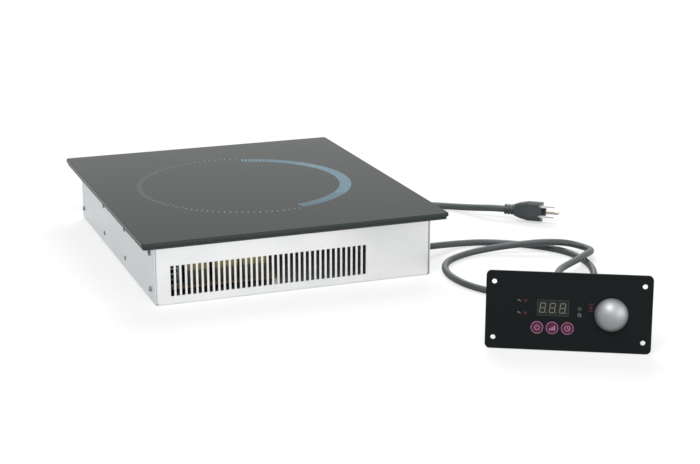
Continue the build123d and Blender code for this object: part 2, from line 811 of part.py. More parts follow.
fan_screw_spots = [
    Plane(origin=(fan_x + dx, fan_y + dy, SHEET + FAN_T))
    for dx in (-fan_hole_pitch / 2, fan_hole_pitch / 2)
    for dy in (-fan_hole_pitch / 2, fan_hole_pitch / 2)
]
fan_screws = cross_screws(
    fan_screw_spots, FAN_HEAD_R, FAN_HEAD_TOP_R, SCREW_HEAD_H, FAN_SCREW_R, FAN_T + SHEET - SHEET_GAP
)
keep(fan_screws, "fan_screws")

# Remote control panel: planes on its face and behind it

yaw = math.radians(PANEL_YAW)
tilt = math.atan2(BOX_FOOT, BOX_DEPTH)
across = Vector(math.cos(yaw), math.sin(yaw), 0)
level_out = Vector(math.sin(yaw), -math.cos(yaw), 0)
panel_out = level_out * math.cos(tilt) + Vector(0, 0, math.sin(tilt))
panel_up = panel_out.cross(across)
panel_foot = Vector(PANEL_X, PANEL_Y, PANEL_T * math.sin(tilt))
face = Plane(origin=panel_foot + panel_up * (PANEL_H / 2), x_dir=across, z_dir=panel_out)
behind = face.offset(-PANEL_T)
control_front = behind.offset(-CONTROL_GAP)


def spot_on(plane, x, y):
    """The same plane moved to a place on it."""
    return Plane(origin=plane.from_local_coords(Vector(x, y, 0)), x_dir=plane.x_dir, z_dir=plane.z_dir)


# The rear box and its board sit lower than the middle of the plate
box_y = BOX_FOOT + (BOX_H - PANEL_H) / 2
board_front = spot_on(control_front, 0, box_y)
board_rear = board_front.offset(-CONTROL_T)
box_rear = spot_on(behind, 0, box_y).offset(-BOX_DEPTH)

key_pitch = 2 * (KEY_R + KEY_LIP) + KEY_SPACE
key_spots = [(KEY_X + (key - 1) * key_pitch, KEY_Y) for key in range(len(KEY_NAMES))]
board_w = BOX_W - 2 * (BOX_WALL + CONTROL_EDGE)
board_h = BOX_H - 2 * (BOX_WALL + CONTROL_EDGE)
post_dx = board_w - 2 * POST_INSET
post_dy = board_h - 2 * POST_INSET

with BuildPart() as panel_plate:
    with BuildSketch(behind):
        RectangleRounded(PANEL_W, PANEL_H, PANEL_CORNER_R)
        with GridLocations(HOLE_DX, HOLE_DY, 2, 2):
            Circle(HOLE_R, mode=Mode.SUBTRACT)
        with Locations((WINDOW_X, WINDOW_Y)):
            fit = 2 * PANEL_FIT
            RectangleRounded(WINDOW_W + fit, WINDOW_H + fit, WINDOW_CORNER_R, mode=Mode.SUBTRACT)
        with Locations(*key_spots):
            Circle(KEY_R + KEY_CLEAR, mode=Mode.SUBTRACT)
        with Locations(*LIGHT_SPOTS):
            Circle(LIGHT_R + PANEL_FIT, mode=Mode.SUBTRACT)
        with Locations((KNOB_X, KNOB_Y)):
            Circle(BUSH_R + PANEL_FIT, mode=Mode.SUBTRACT)
    extrude(amount=PANEL_T)
keep(panel_plate, "panel_plate")

with BuildPart() as display_window:
    with BuildSketch(behind):
        with Locations((WINDOW_X, WINDOW_Y)):
            RectangleRounded(WINDOW_W, WINDOW_H, WINDOW_CORNER_R)
    extrude(amount=PANEL_T)
    with BuildSketch(behind):
        with Locations((WINDOW_X, WINDOW_Y)):
            Rectangle(WINDOW_W + 2 * WINDOW_LIP, WINDOW_H + 2 * WINDOW_LIP)
    extrude(amount=-WINDOW_LIP_T)
keep(display_window, "display_window")

with BuildPart() as display_module:
    with BuildSketch(control_front):
        with Locations((WINDOW_X, WINDOW_Y)):
            Rectangle(WINDOW_W - 2 * DIGIT_MARGIN, WINDOW_H - 2 * DIGIT_MARGIN)
    extrude(amount=CONTROL_GAP - WINDOW_LIP_T)
keep(display_module, "display_module")

with BuildPart() as indicator_lights:
    with BuildSketch(control_front):
        with Locations(*LIGHT_SPOTS):
            Circle(LIGHT_R)
    extrude(amount=CONTROL_GAP + PANEL_T)
keep(indicator_lights, "indicator_lights")

# Three push keys, each with a lip behind the plate and a stem in the well of its switch

lip_front = -KEY_LIP_GAP
lip_rear = lip_front - KEY_LIP_T
switch_top = -CONTROL_GAP + SWITCH_H
well_floor = SWITCH_H - KEY_STEM_IN - KEY_TRAVEL - KEY_CLEAR
for name, (key_x, key_y) in zip(KEY_NAMES, key_spots):
    key = turned(spot_on(behind, key_x, key_y), [
        (0, switch_top - KEY_STEM_IN),
        (KEY_STEM_R, switch_top - KEY_STEM_IN),
        (KEY_STEM_R, lip_rear),
        (KEY_R + KEY_LIP, lip_rear),
        (KEY_R + KEY_LIP, lip_front),
        (KEY_R, lip_front),
        (KEY_R, PANEL_T + KEY_PROUD - KEY_EDGE_R),
        (KEY_R - KEY_EDGE_R, PANEL_T + KEY_PROUD),
        (0, PANEL_T + KEY_PROUD),
    ])
    keep(key, name)

with BuildPart() as key_switches:
    with BuildSketch(control_front):
        with Locations(*key_spots):
            Rectangle(SWITCH_W, SWITCH_W)
    extrude(amount=SWITCH_H)
    with BuildSketch(control_front.offset(well_floor)):
        with Locations(*key_spots):
            Circle(KEY_STEM_R + KEY_CLEAR)
    extrude(amount=SWITCH_H - well_floor, mode=Mode.SUBTRACT)
keep(key_switches, "key_switches")

# Rotary encoder with its nut, shaft and domed knob

knob_face = spot_on(face, KNOB_X, KNOB_Y)
encoder_rear = knob_face.offset(-PANEL_T - CONTROL_GAP)
with BuildPart() as encoder_body:
    with BuildSketch(encoder_rear):
        Rectangle(ENCODER_W, ENCODER_H)
    extrude(amount=CONTROL_GAP)
    with BuildSketch(knob_face.offset(-PANEL_T)):
        Circle(BUSH_R)
    extrude(amount=PANEL_T + BUSH_OUT)
    with BuildSketch(knob_face.offset(-PANEL_T - SHAFT_IN - SHAFT_END_GAP)):
        Circle(SHAFT_R + SHAFT_CLEAR)
    extrude(amount=PANEL_T + SHAFT_IN + SHAFT_END_GAP + BUSH_OUT, mode=Mode.SUBTRACT)
keep(encoder_body, "encoder_body")

with BuildPart() as encoder_nut:
    with BuildSketch(knob_face):
        RegularPolygon(NUT_R, 6)
        Circle(BUSH_R + SHAFT_CLEAR, mode=Mode.SUBTRACT)
    extrude(amount=NUT_H)
keep(encoder_nut, "encoder_nut")

with BuildPart() as encoder_shaft:
    with BuildSketch(knob_face.offset(-PANEL_T - SHAFT_IN)):
        Circle(SHAFT_R)
    extrude(amount=PANEL_T + SHAFT_IN + SHAFT_OUT)
keep(encoder_shaft, "encoder_shaft")

hollow_r = KNOB_R - KNOB_WALL
dome_h = KNOB_H - KNOB_SKIRT
dome_r = (KNOB_R**2 + dome_h**2) / (2 * dome_h)
dome_start = math.degrees(math.acos(KNOB_R / dome_r))
boss_low = BUSH_OUT + KNOB_GAP
with BuildPart() as control_knob:
    with BuildSketch(Plane(origin=knob_face.origin, x_dir=across, z_dir=-panel_up)):
        with BuildLine():
            Line((0, KNOB_GAP), (KNOB_R, KNOB_GAP))
            Line((KNOB_R, KNOB_GAP), (KNOB_R, KNOB_SKIRT))
            CenterArc((0, KNOB_H - dome_r), dome_r, dome_start, 90 - dome_start)
            Line((0, KNOB_H), (0, KNOB_GAP))
        make_face()
    revolve(axis=Axis(knob_face.origin, panel_out))
    with BuildSketch(knob_face):
        Circle(hollow_r)
        Circle(KNOB_BOSS_R, mode=Mode.SUBTRACT)
    extrude(amount=KNOB_HOLLOW, mode=Mode.SUBTRACT)
    with BuildSketch(knob_face):
        Circle(hollow_r)
    extrude(amount=boss_low, mode=Mode.SUBTRACT)
    with BuildSketch(knob_face):
        Circle(SHAFT_R)
    extrude(amount=SHAFT_OUT, mode=Mode.SUBTRACT)
keep(control_knob, "control_knob")

# Control board between the plate and the rear box

with BuildPart() as control_board:
    with BuildSketch(board_rear):
        Rectangle(board_w, board_h)
    extrude(amount=CONTROL_T)
keep(control_board, "control_board")

with BuildPart() as control_spacers:
    with BuildSketch(board_front):
        with GridLocations(post_dx, post_dy, 2, 2):
            Circle(POST_R)
    extrude(amount=CONTROL_GAP)
keep(control_spacers, "control_spacers")

post_l = BOX_DEPTH - BOX_WALL - CONTROL_GAP - CONTROL_T
with BuildPart() as box_posts:
    with BuildSketch(board_rear):
        with GridLocations(post_dx, post_dy, 2, 2):
            Circle(POST_R)
    extrude(amount=-post_l)
    with BuildSketch(board_rear.offset(-post_l)):
        with GridLocations(post_dx, post_dy, 2, 2):
            Circle(BOX_SCREW_R)
    extrude(amount=BOX_SCREW_L - BOX_WALL, mode=Mode.SUBTRACT)
keep(box_posts, "box_posts")

with BuildPart() as control_box:
    with BuildSketch(box_rear):
        RectangleRounded(BOX_W, BOX_H, BOX_CORNER_R)
    extrude(amount=BOX_DEPTH)
    with BuildSketch(box_rear.offset(BOX_WALL)):
        RectangleRounded(BOX_W - 2 * BOX_WALL, BOX_H - 2 * BOX_WALL, BOX_CORNER_R - BOX_WALL)
    extrude(amount=BOX_DEPTH - BOX_WALL, mode=Mode.SUBTRACT)
    with BuildSketch(box_rear):
        with GridLocations(post_dx, post_dy, 2, 2):
            Circle(BOX_SCREW_R + SCREW_CLEAR)
        Circle(GLAND_NECK_R + SHEET_GAP)
    extrude(amount=BOX_WALL, mode=Mode.SUBTRACT)
keep(control_box, "control_box")

rear_out = Plane(origin=box_rear.origin, x_dir=-across, z_dir=-panel_out)
box_screw_spots = [
    spot_on(rear_out, x, y)
    for x in (-post_dx / 2, post_dx / 2)
    for y in (-post_dy / 2, post_dy / 2)
]
box_screws = cross_screws(
    box_screw_spots,
    BOX_SCREW_HEAD_R,
    BOX_SCREW_HEAD_TOP_R,
    BOX_SCREW_HEAD_H,
    BOX_SCREW_R,
    BOX_SCREW_L,
)
keep(box_screws, "box_screws")

# Glands at the three cord exits

keep(gland(control_spot, SHEET, cable_r, GLAND_R, GLAND_OUT), "control_gland")
keep(gland(rear_out, BOX_WALL, cable_r, GLAND_R, GLAND_OUT), "box_gland")
keep(gland(relief_spot, SHEET, cord_r, RELIEF_R, RELIEF_OUT), "mains_strain_relief")

# Control cable: it lies in one loose loop on the floor between the cooktop and the panel

cable_z = cable_r + FLOOR_GAP
box_mouth = rear_out.from_local_coords(Vector(0, 0, GLAND_OUT))
cable_points = [
    Vector(HOUSING_W / 2 + GLAND_OUT, CONTROL_EXIT_Y, CONTROL_EXIT_Z),
    Vector(191, CONTROL_EXIT_Y, CONTROL_EXIT_Z),
    Vector(213, -110, 7.6),
    Vector(238, -101.5, 4.4),
    Vector(265, -105, cable_z),
    Vector(293, -121.5, cable_z),
    Vector(321, -145, cable_z),
    Vector(341, -175, cable_z),
    Vector(344, -213, cable_z),
    Vector(335, -250, cable_z),
    Vector(314, -286, cable_z),
    Vector(281, -309, cable_z),
    Vector(243, -313, cable_z),
    Vector(209, -298, cable_z),
    Vector(186, -270, cable_z),
    Vector(173.5, -236, cable_z),
    Vector(173.5, -195.5, cable_z),
    Vector(190.5, -161, cable_z),
    Vector(224, -141.5, 4.3),
    Vector(258, -138.5, 6.5),
    Vector(287, -150, 11.2),
    Vector(313, -159, 14),
    Vector(335, -166.5, 13.8),
    Vector(352.5, -167, 9.9),
    Vector(363.2, -180.8, 7.8),
    Vector(360.6, -198.6, 9.5),
    Vector(344, -217.5, 13.6),
    Vector(325, -232.5, 13.7),
    Vector(302, -249, 14.3),
    Vector(281, -267, 15.7),
    Vector(264, -293, 17.5),
    Vector(250, -327, 20),
    box_mouth - panel_out * 36,
    box_mouth,
]
control_route = cord_path("control_cable", cable_points)
control_cable = tube(control_route, CABLE_D)
keep(control_cable, "control_cable")

# Mains cord: a lead to the tied coil behind the cooktop, the coil, and the run to the plug

coil_z = TIE_T + TIE_GAP + cord_r
coil_top_z = coil_z + CORD_LAYER
coil_ends = []
for turn in range(2 * CORD_LAYER_HALF_TURNS + 2):
    inward = min(turn, 2 * CORD_LAYER_HALF_TURNS + 1 - turn)
    radius = CORD_COIL_R - inward * CORD_COIL_PITCH / 2
    layer_z = coil_z if turn <= CORD_LAYER_HALF_TURNS else coil_top_z
    coil_ends.append(Vector(CORD_COIL_X - (-1) ** turn * radius, CORD_COIL_Y, layer_z))
mains_coil_path = coil_path(coil_ends, CORD_D)
report_gap("mains_cord_coil", mains_coil_path, CORD_D)
mains_cord_coil = tube(mains_coil_path, CORD_D)
keep(mains_cord_coil, "mains_cord_coil")

coil_in = mains_coil_path @ 0
coil_out = mains_coil_path @ 1
lead_points = [
    Vector(RELIEF_X, rear_y + RELIEF_OUT, RELIEF_Z),
    Vector(RELIEF_X, rear_y + RELIEF_OUT + 14, RELIEF_Z),
    coil_in - Vector(0, 14, 0),
    coil_in,
]
mains_cord_lead = tube(cord_path("mains_cord_lead", lead_points), CORD_D)
keep(mains_cord_lead, "mains_cord_lead")

heading = math.radians(PLUG_HEADING)
roll = math.radians(PLUG_ROLL)
plug_ahead = Vector(math.cos(heading), math.sin(heading), 0)
plug_aside = Vector(-math.sin(heading), math.cos(heading), 0)
plug_across = plug_aside * math.sin(roll) + Vector(0, 0, math.cos(roll))
round_w = PLUG_W / 2 - PLUG_CORNER_R
round_t = PLUG_THICK / 2 - PLUG_CORNER_R
plug_z = round_w * math.cos(roll) + round_t * math.sin(roll) + PLUG_CORNER_R + FLOOR_GAP
boot_rear = Plane(origin=(PLUG_X, PLUG_Y, plug_z), x_dir=plug_across, z_dir=plug_ahead)

cord_z = cord_r + FLOOR_GAP
run_points = [
    coil_out,
    coil_out - Vector(0, 22, 0),
    Vector(185.8, 208, 9.5),
    Vector(190, 170, 4.6),
    Vector(201, 135, cord_z),
    Vector(220, 105, cord_z),
    Vector(249, 82.5, cord_z),
    Vector(279, 66, cord_z),
    Vector(298, 50, 5.2),
    Vector(309.5, 30, 8),
    Vector(319, 11, 11.5),
    boot_rear.origin - plug_ahead * 15,
    boot_rear.origin,
]
mains_cord_run = tube(cord_path("mains_cord_run", run_points), CORD_D)
keep(mains_cord_run, "mains_cord_run")

inner_turn = CORD_COIL_R - CORD_LAYER_HALF_TURNS * CORD_COIL_PITCH / 2
tie_in = inner_turn - cord_r - TIE_GAP
outer_turn = CORD_COIL_R - CORD_COIL_PITCH / 4
tie_out = outer_turn + cord_r + TIE_GAP
tie_h = CORD_LAYER + CORD_D + 2 * TIE_GAP
with BuildPart() as cord_tie:
    with Locations((CORD_COIL_X, CORD_COIL_Y + tie_in - TIE_T, 0)):
        tie_l = tie_out - tie_in
        Box(TIE_W, tie_l + 2 * TIE_T, tie_h + 2 * TIE_T, align=(Align.CENTER, Align.MIN, Align.MIN))
        with Locations((0, TIE_T, TIE_T)):
            Box(
                2 * TIE_W, tie_l, tie_h, align=(Align.CENTER, Align.MIN, Align.MIN), mode=Mode.SUBTRACT
            )
keep(cord_tie, "cord_tie")

# Plug: ribbed boot and tapered body in one moulding, two blades and the earth pin

plug_rear = boot_rear.offset(BOOT_L)
taper_end = plug_rear.offset(PLUG_TAPER_L)
plug_front = plug_rear.offset(PLUG_L - WING_L)
rib_pitch = BOOT_L / BOOT_RIBS
with BuildPart() as plug_body:
    with BuildSketch(boot_rear):
        Circle(BOOT_R - BOOT_GROOVE)
    extrude(amount=BOOT_L)
    for rib in range(BOOT_RIBS):
        with BuildSketch(boot_rear.offset(rib * rib_pitch)):
            Circle(BOOT_R)
        extrude(amount=rib_pitch / 2)
    with BuildSketch(plug_rear):
        RectangleRounded(PLUG_BACK_W, PLUG_BACK_W, PLUG_CORNER_R)
    with BuildSketch(plug_rear.offset(PLUG_SHOULDER_L)):
        RectangleRounded(PLUG_SHOULDER_W, PLUG_SHOULDER_THICK, PLUG_CORNER_R)
    with BuildSketch(taper_end):
        RectangleRounded(PLUG_W, PLUG_THICK, PLUG_CORNER_R)
    loft(ruled=True)
    with BuildSketch(taper_end):
        RectangleRounded(PLUG_W, PLUG_THICK, PLUG_CORNER_R)
    extrude(amount=PLUG_L - PLUG_TAPER_L)
    with BuildSketch(plug_front):
        Rectangle(BLADE_GAP + 2 * BLADE_T, PLUG_THICK)
        Rectangle(NOSE_W, PLUG_THICK, mode=Mode.SUBTRACT)
    extrude(amount=WING_L, mode=Mode.SUBTRACT)
    with BuildSketch(plug_front):
        with Locations((0, -EARTH_PIN_ASIDE)):
            Rectangle(NOSE_W, PLUG_THICK - 2 * EARTH_PIN_ASIDE)
    extrude(amount=WING_L + NOSE_L)
    with BuildSketch(plug_front.offset(-BLADE_ROOT)):
        for side in (-1, 1):
            with Locations((side * BLADE_GAP / 2, BLADE_ASIDE)):
                Rectangle(BLADE_T, BLADE_W)
    extrude(amount=BLADE_ROOT, mode=Mode.SUBTRACT)
    with BuildSketch(plug_front.offset(-BLADE_ROOT)):
        with Locations((0, -EARTH_PIN_ASIDE)):
            Circle(EARTH_ROOT_R)
    extrude(amount=BLADE_ROOT + WING_L + NOSE_L, mode=Mode.SUBTRACT)
keep(plug_body, "plug_body")

with BuildPart() as plug_blades:
    with BuildSketch(plug_front.offset(-BLADE_ROOT)):
        for side in (-1, 1):
            with Locations((side * BLADE_GAP / 2, BLADE_ASIDE)):
                Rectangle(BLADE_T, BLADE_W)
    extrude(amount=BLADE_ROOT + WING_L + BLADE_L)
keep(plug_blades, "plug_blades")

pin_root_l = BLADE_ROOT + WING_L + NOSE_L
pin_l = EARTH_PIN_L - NOSE_L
plug_earth_pin = turned(spot_on(plug_front.offset(-BLADE_ROOT), 0, -EARTH_PIN_ASIDE), [
    (0, 0),
    (EARTH_ROOT_R, 0),
    (EARTH_ROOT_R, pin_root_l),
    (EARTH_PIN_R, pin_root_l),
    (EARTH_PIN_R, pin_root_l + pin_l - EARTH_TIP_L),
    (EARTH_TIP_R, pin_root_l + pin_l),
    (0, pin_root_l + pin_l),
])
keep(plug_earth_pin, "plug_earth_pin")
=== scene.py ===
import json
import math

import bmesh
import bpy
from mathutils import Matrix, Vector


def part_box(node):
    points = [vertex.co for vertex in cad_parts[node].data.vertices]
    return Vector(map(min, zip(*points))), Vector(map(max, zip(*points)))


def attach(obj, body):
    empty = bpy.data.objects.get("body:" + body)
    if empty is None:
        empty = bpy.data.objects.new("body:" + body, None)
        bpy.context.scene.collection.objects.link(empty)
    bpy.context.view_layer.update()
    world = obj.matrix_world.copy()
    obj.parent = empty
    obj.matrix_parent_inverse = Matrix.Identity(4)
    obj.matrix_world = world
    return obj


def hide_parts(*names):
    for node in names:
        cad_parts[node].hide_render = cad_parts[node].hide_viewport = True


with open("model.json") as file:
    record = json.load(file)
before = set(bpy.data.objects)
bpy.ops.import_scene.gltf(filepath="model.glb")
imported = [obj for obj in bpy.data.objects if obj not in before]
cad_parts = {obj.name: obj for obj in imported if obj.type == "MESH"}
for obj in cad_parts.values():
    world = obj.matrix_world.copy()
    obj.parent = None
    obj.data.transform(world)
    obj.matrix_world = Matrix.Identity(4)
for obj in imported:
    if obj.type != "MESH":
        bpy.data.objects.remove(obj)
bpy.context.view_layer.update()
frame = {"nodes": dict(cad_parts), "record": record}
nodes = frame["nodes"]
mounts = {mount["name"]: mount for mount in frame["record"]["mounts"]}

bl_info = {
    "name": "Induction cooktop",
    "version": (1, 0, 0),
    "blender": (4, 5, 0),
    "location": "3D View > Sidebar > Cooktop",
    "description": "Dresses a drop-in induction cooktop with a remote control panel",
    "category": "Object",
}

MM = 0.001
UPWARDS = Vector((0, 0, 1))


def linear(code):
    """Turn an sRGB hex colour into linear red, green and blue."""
    parts = [int(code[at:at + 2], 16) / 255 for at in (1, 3, 5)]
    return tuple(part / 12.92 if part <= 0.04045 else ((part + 0.055) / 1.055) ** 2.4 for part in parts)


def darker(colour, share):
    """The same colour with a share of its light."""
    return [part * share for part in colour]


# Cords: routes in millimetres, with the same points as the tubes in the frame, and lengths in metres

CABLE_ROUTE = [
    (173, -120, 11), (191, -120, 11), (213, -110, 7.6), (238, -101.5, 4.4), (265, -105, 4),
    (293, -121.5, 4), (321, -145, 4), (341, -175, 4), (344, -213, 4), (335, -250, 4), (314, -286, 4),
    (281, -309, 4), (243, -313, 4), (209, -298, 4), (186, -270, 4), (173.5, -236, 4), (173.5, -195.5, 4),
    (190.5, -161, 4), (224, -141.5, 4.3), (258, -138.5, 6.5), (287, -150, 11.2), (313, -159, 14),
    (335, -166.5, 13.8), (352.5, -167, 9.9), (363.2, -180.8, 7.8), (360.6, -198.6, 9.5),
    (344, -217.5, 13.6), (325, -232.5, 13.7), (302, -249, 14.3), (281, -267, 15.7), (264, -293, 17.5),
    (250, -327, 20),
]
CABLE_STRAIGHT = 36
LEAD_ROUTE = [(63.6, 217, 13), (63.6, 231, 13), (63.6, 255.4, 5.9)]
RUN_ROUTE = [
    (184.4, 247.4, 15), (185.8, 208, 9.5), (190, 170, 4.6), (201, 135, 4.4), (220, 105, 4.4),
    (249, 82.5, 4.4), (279, 66, 4.4), (298, 50, 5.2), (309.5, 30, 8), (319, 11, 11.5),
]
MAINS_STRAIGHT = 15
COIL_MIDDLE = (124.0, 278.0)
COIL_R = 60.4
COIL_PITCH = 11.0
COIL_LAYER_HALF_TURNS = 4
COIL_LOW = 5.9
COIL_HIGH = 15.0
COIL_POINTS = 8
CORD_ROUND_STEPS = 5
CORD_LONG_STEPS = 8
END_TOLERANCE = 0.05

# Places on the remote panel in millimetres, from the middle of its face

WINDOW_SPOT = (-15.1, 3.5)
KEY_SPOTS = {"on_off_key": (-30.2, -16.3), "mode_key": (-15.4, -16.3), "timer_key": (-0.6, -16.3)}
UNIT_SPOTS = ((-48.8, 10.4), (-48.8, -1.8))
TIMER_SPOT = (10.7, -2.6)
HEAT_SPOT = (21.6, 5.2)
PRINT_T = 0.04

# Window in millimetres: the line round it, and its digits from left to right, with shares of their height

WINDOW_LINE = (30.4, 15.3)
WINDOW_LINE_WIDTH = 0.45
DIGIT_SPOTS = (-10.2, -0.6, 9.3)
DIGIT_WIDTH_SHARE = 0.53
DIGIT_LINE_SHARE = 0.088
SEGMENT_GAP = 0.12
POINT_OFFSET = 1.7
POINT_SHARE = 0.6

# Keys and their signs in millimetres, from the middle of each key, with angles in degrees

KEY_PROUD = 0.5
KEY_RING_R = 6.1
KEY_RING_BORE_R = 5.7
STANDBY_R = 2.6
STANDBY_BORE_R = 2.0
STANDBY_START = 125
STANDBY_TURN = 290
STANDBY_STROKE = (0.5, 3.2)
STANDBY_STROKE_WIDTH = 0.6
LEVELS = ((-2.2, 1.8), (0, 3.2), (2.2, 4.6))
LEVEL_FOOT = -2.4
LEVEL_WIDTH = 1.2
KEY_CLOCK_R = 2.9
KEY_CLOCK_LINE = 0.55

# Signs beside the lights in millimetres. The hands of a clock are shares of its radius.

CLOCK_HANDS = ((0, 0.62), (0.5, -0.25))
TIMER_CLOCK_R = 1.9
TIMER_CLOCK_LINE = 0.45
TIMER_LENS_REACH = 4
UNIT_R = 0.85
UNIT_BORE_R = 0.4
UNIT_BAR = (1.2, 2.4)
UNIT_BAR_DROP = 1.0
UNIT_BAR_WIDTH = 0.5
HEAT_LINE = 0.8
HEAT_PLATE_HALF = 2.4
HEAT_PLATE_DROP = 3.2
HEAT_WAVES = (-1.8, 0, 1.8)
HEAT_WAVE_RISE = (2.4, 4.2)
HEAT_WAVE_LEAN = 0.3

# Ring on the glass: hatch widths as shares of their pitch, and the end ticks' width as a share

BAND_STEPS = 64
HATCH_WIDE = 0.9
HATCH_NARROW = 0.66
TICK_NARROW = 0.8

# How far down the glass its polished face reaches before the ground edge

EDGE_DEPTH = 0.3 * MM

# How far down from the capacitors' tops their painted light reaches

CASE_LIT_TOP = 14 * MM

# The panel's plane, read from the four holes in its plate

hole = {
    corner: Vector(mounts["panel_hole_" + corner]["pos_m"])
    for corner in ("top_left", "top_right", "bottom_left", "bottom_right")
}
panel_out = Vector(mounts["panel_hole_top_left"]["axis"]).normalized()
panel_across = (hole["top_right"] - hole["top_left"]).normalized()
panel_up = panel_out.cross(panel_across)
plate_t = mounts["panel_hole_top_left"]["dims"]["length_mm"] * MM
panel_middle = sum(hole.values(), Vector()) / 4 + panel_out * plate_t / 2
panel_axes = Matrix((panel_across, panel_up, panel_out)).transposed().to_4x4()
panel_place = Matrix.Translation(panel_middle) @ panel_axes

# Camera of the photograph, fitted to the edges of the glass and the housing

CAMERA_LENS = 81.114
CAMERA_SENSOR = 36
CAMERA_SPOT = (-0.53185, -1.74548, 0.54697)
CAMERA_RIGHT = Vector((0.93449, -0.35599, 0.00092))
CAMERA_UP = Vector((0.09897, 0.26229, 0.9599))

# Studio in metres and watts: white paper, a white sky, three soft lights and a weak strip inside

FLOOR_HALF = 6.0
FLOOR_DROP = 0.2 * MM
FLOOR_COLOUR = (0.34, 0.34, 0.345)
FLOOR_GLOW = 0.63
FLOOR_SHINE = 0.52
FLOOR_NEAR = 0.9
FLOOR_FAR = 2.2
SKY_FILL = 0.2
LAMP_AIM = Vector((0.1, -0.15, 0.04))
LAMPS = (
    ("key_light", (-0.9, -1.4, 2.4), 1.5, 52),
    ("front_light", (1.6, -2.4, 0.5), 2.6, 45),
    ("rear_light", (0.9, 1.8, 2.3), 1.8, 62),
)
STRIP_SPOT = (-0.03, -0.181, 0.058)
STRIP_SIZE = (0.23, 0.006)
STRIP_AIM = Vector((0, 1, -0.3))
STRIP_POWER = 0.055

# Shading: how much noise the grain and the clouding have, and how their sum spreads over the two colours

FINE_DETAIL = 3.0
BROAD_DETAIL = 2.0
SPREAD_LOW = 0.6
SPREAD_HIGH = 1.4
BUMP_STRENGTH = 0.6


# Sizes and colours that a user would change


class GlassMarks(bpy.types.PropertyGroup):
    """Printed ring on the glass"""

    middle: bpy.props.FloatVectorProperty(
        name="Middle", description="Middle of the ring on the glass", size=2, default=(0.0018, -0.0006),
        unit="LENGTH", precision=4)
    radius: bpy.props.FloatProperty(
        name="Band radius", description="Outer edge of the band on the right", default=0.1245,
        unit="LENGTH")
    band: bpy.props.FloatProperty(
        name="Band width", description="Width of the band", default=0.0138, unit="LENGTH")
    solid: bpy.props.FloatProperty(
        name="Solid angle", description="Half angle of the unbroken band", default=math.radians(40),
        subtype="ANGLE")
    reach: bpy.props.FloatProperty(
        name="Band angle", description="Half angle at which the hatched band ends",
        default=math.radians(76.5), subtype="ANGLE")
    hatches: bpy.props.IntProperty(
        name="Hatches", description="Bars in the hatch at each end of the band", default=17, min=2)
    ticks: bpy.props.IntProperty(
        name="Ticks", description="Ticks round the rest of the ring", default=68, min=2)
    tick_radius: bpy.props.FloatProperty(
        name="Tick radius", description="Outer ends of the ticks", default=0.1303, unit="LENGTH")
    tick: bpy.props.FloatProperty(
        name="Tick length", description="Length of a tick", default=0.006, unit="LENGTH")
    tick_width: bpy.props.FloatProperty(
        name="Tick width", description="Width of the widest tick", default=0.0017, unit="LENGTH")
    thickness: bpy.props.FloatProperty(
        name="Print thickness", description="Thickness of the fired print", default=0.0001,
        unit="LENGTH")
    colour: bpy.props.FloatVectorProperty(
        name="Band colour", description="Colour of the band's fired print", size=3, subtype="COLOR",
        default=linear("#4c7482"))
    tick_colour: bpy.props.FloatVectorProperty(
        name="Tick colour", description="Colour of the ticks' fired print", size=3, subtype="COLOR",
        default=linear("#5f7378"))


class Cords(bpy.types.PropertyGroup):
    """Control cable and mains cord"""

    cable: bpy.props.FloatProperty(
        name="Cable diameter", description="Thickness of the control cable", default=0.0078,
        unit="LENGTH")
    mains: bpy.props.FloatProperty(
        name="Cord diameter", description="Thickness of the mains cord", default=0.0086, unit="LENGTH")
    colour: bpy.props.FloatVectorProperty(
        name="Sheath colour", description="Colour of both sheaths", size=3, subtype="COLOR",
        default=linear("#454b4c"))


class Controls(bpy.types.PropertyGroup):
    """Marks and keys on the remote panel"""

    plate: bpy.props.FloatVectorProperty(
        name="Plate colour", description="Colour of the panel's face", size=3, subtype="COLOR",
        default=linear("#121617"))
    key: bpy.props.FloatVectorProperty(
        name="Key colour", description="Colour of the push keys", size=3, subtype="COLOR",
        default=linear("#592241"))
    mark: bpy.props.FloatVectorProperty(
        name="Mark colour", description="Colour of the rings and signs on the keys", size=3,
        subtype="COLOR", default=linear("#c793b3"))
    digit: bpy.props.FloatProperty(
        name="Digit height", description="Height of a display digit", default=0.0094, unit="LENGTH")
    slant: bpy.props.FloatProperty(
        name="Digit slant", description="Lean of the display digits", default=math.radians(6),
        subtype="ANGLE")


# Shared makers


def add_node(tree, kind, inputs=None, **settings):
    """Add a node, set its properties, and set or link its inputs."""
    node = tree.nodes.new(kind)
    for name, value in settings.items():
        setattr(node, name, value)
    for key, value in (inputs or {}).items():
        if isinstance(value, bpy.types.NodeSocket):
            tree.links.new(value, node.inputs[key])
        else:
            node.inputs[key].default_value = value
    return node


def math_node(tree, operation, *values):
    """Output of a Math node that works on values or sockets."""
    return add_node(tree, "ShaderNodeMath", dict(enumerate(values)), operation=operation).outputs[0]


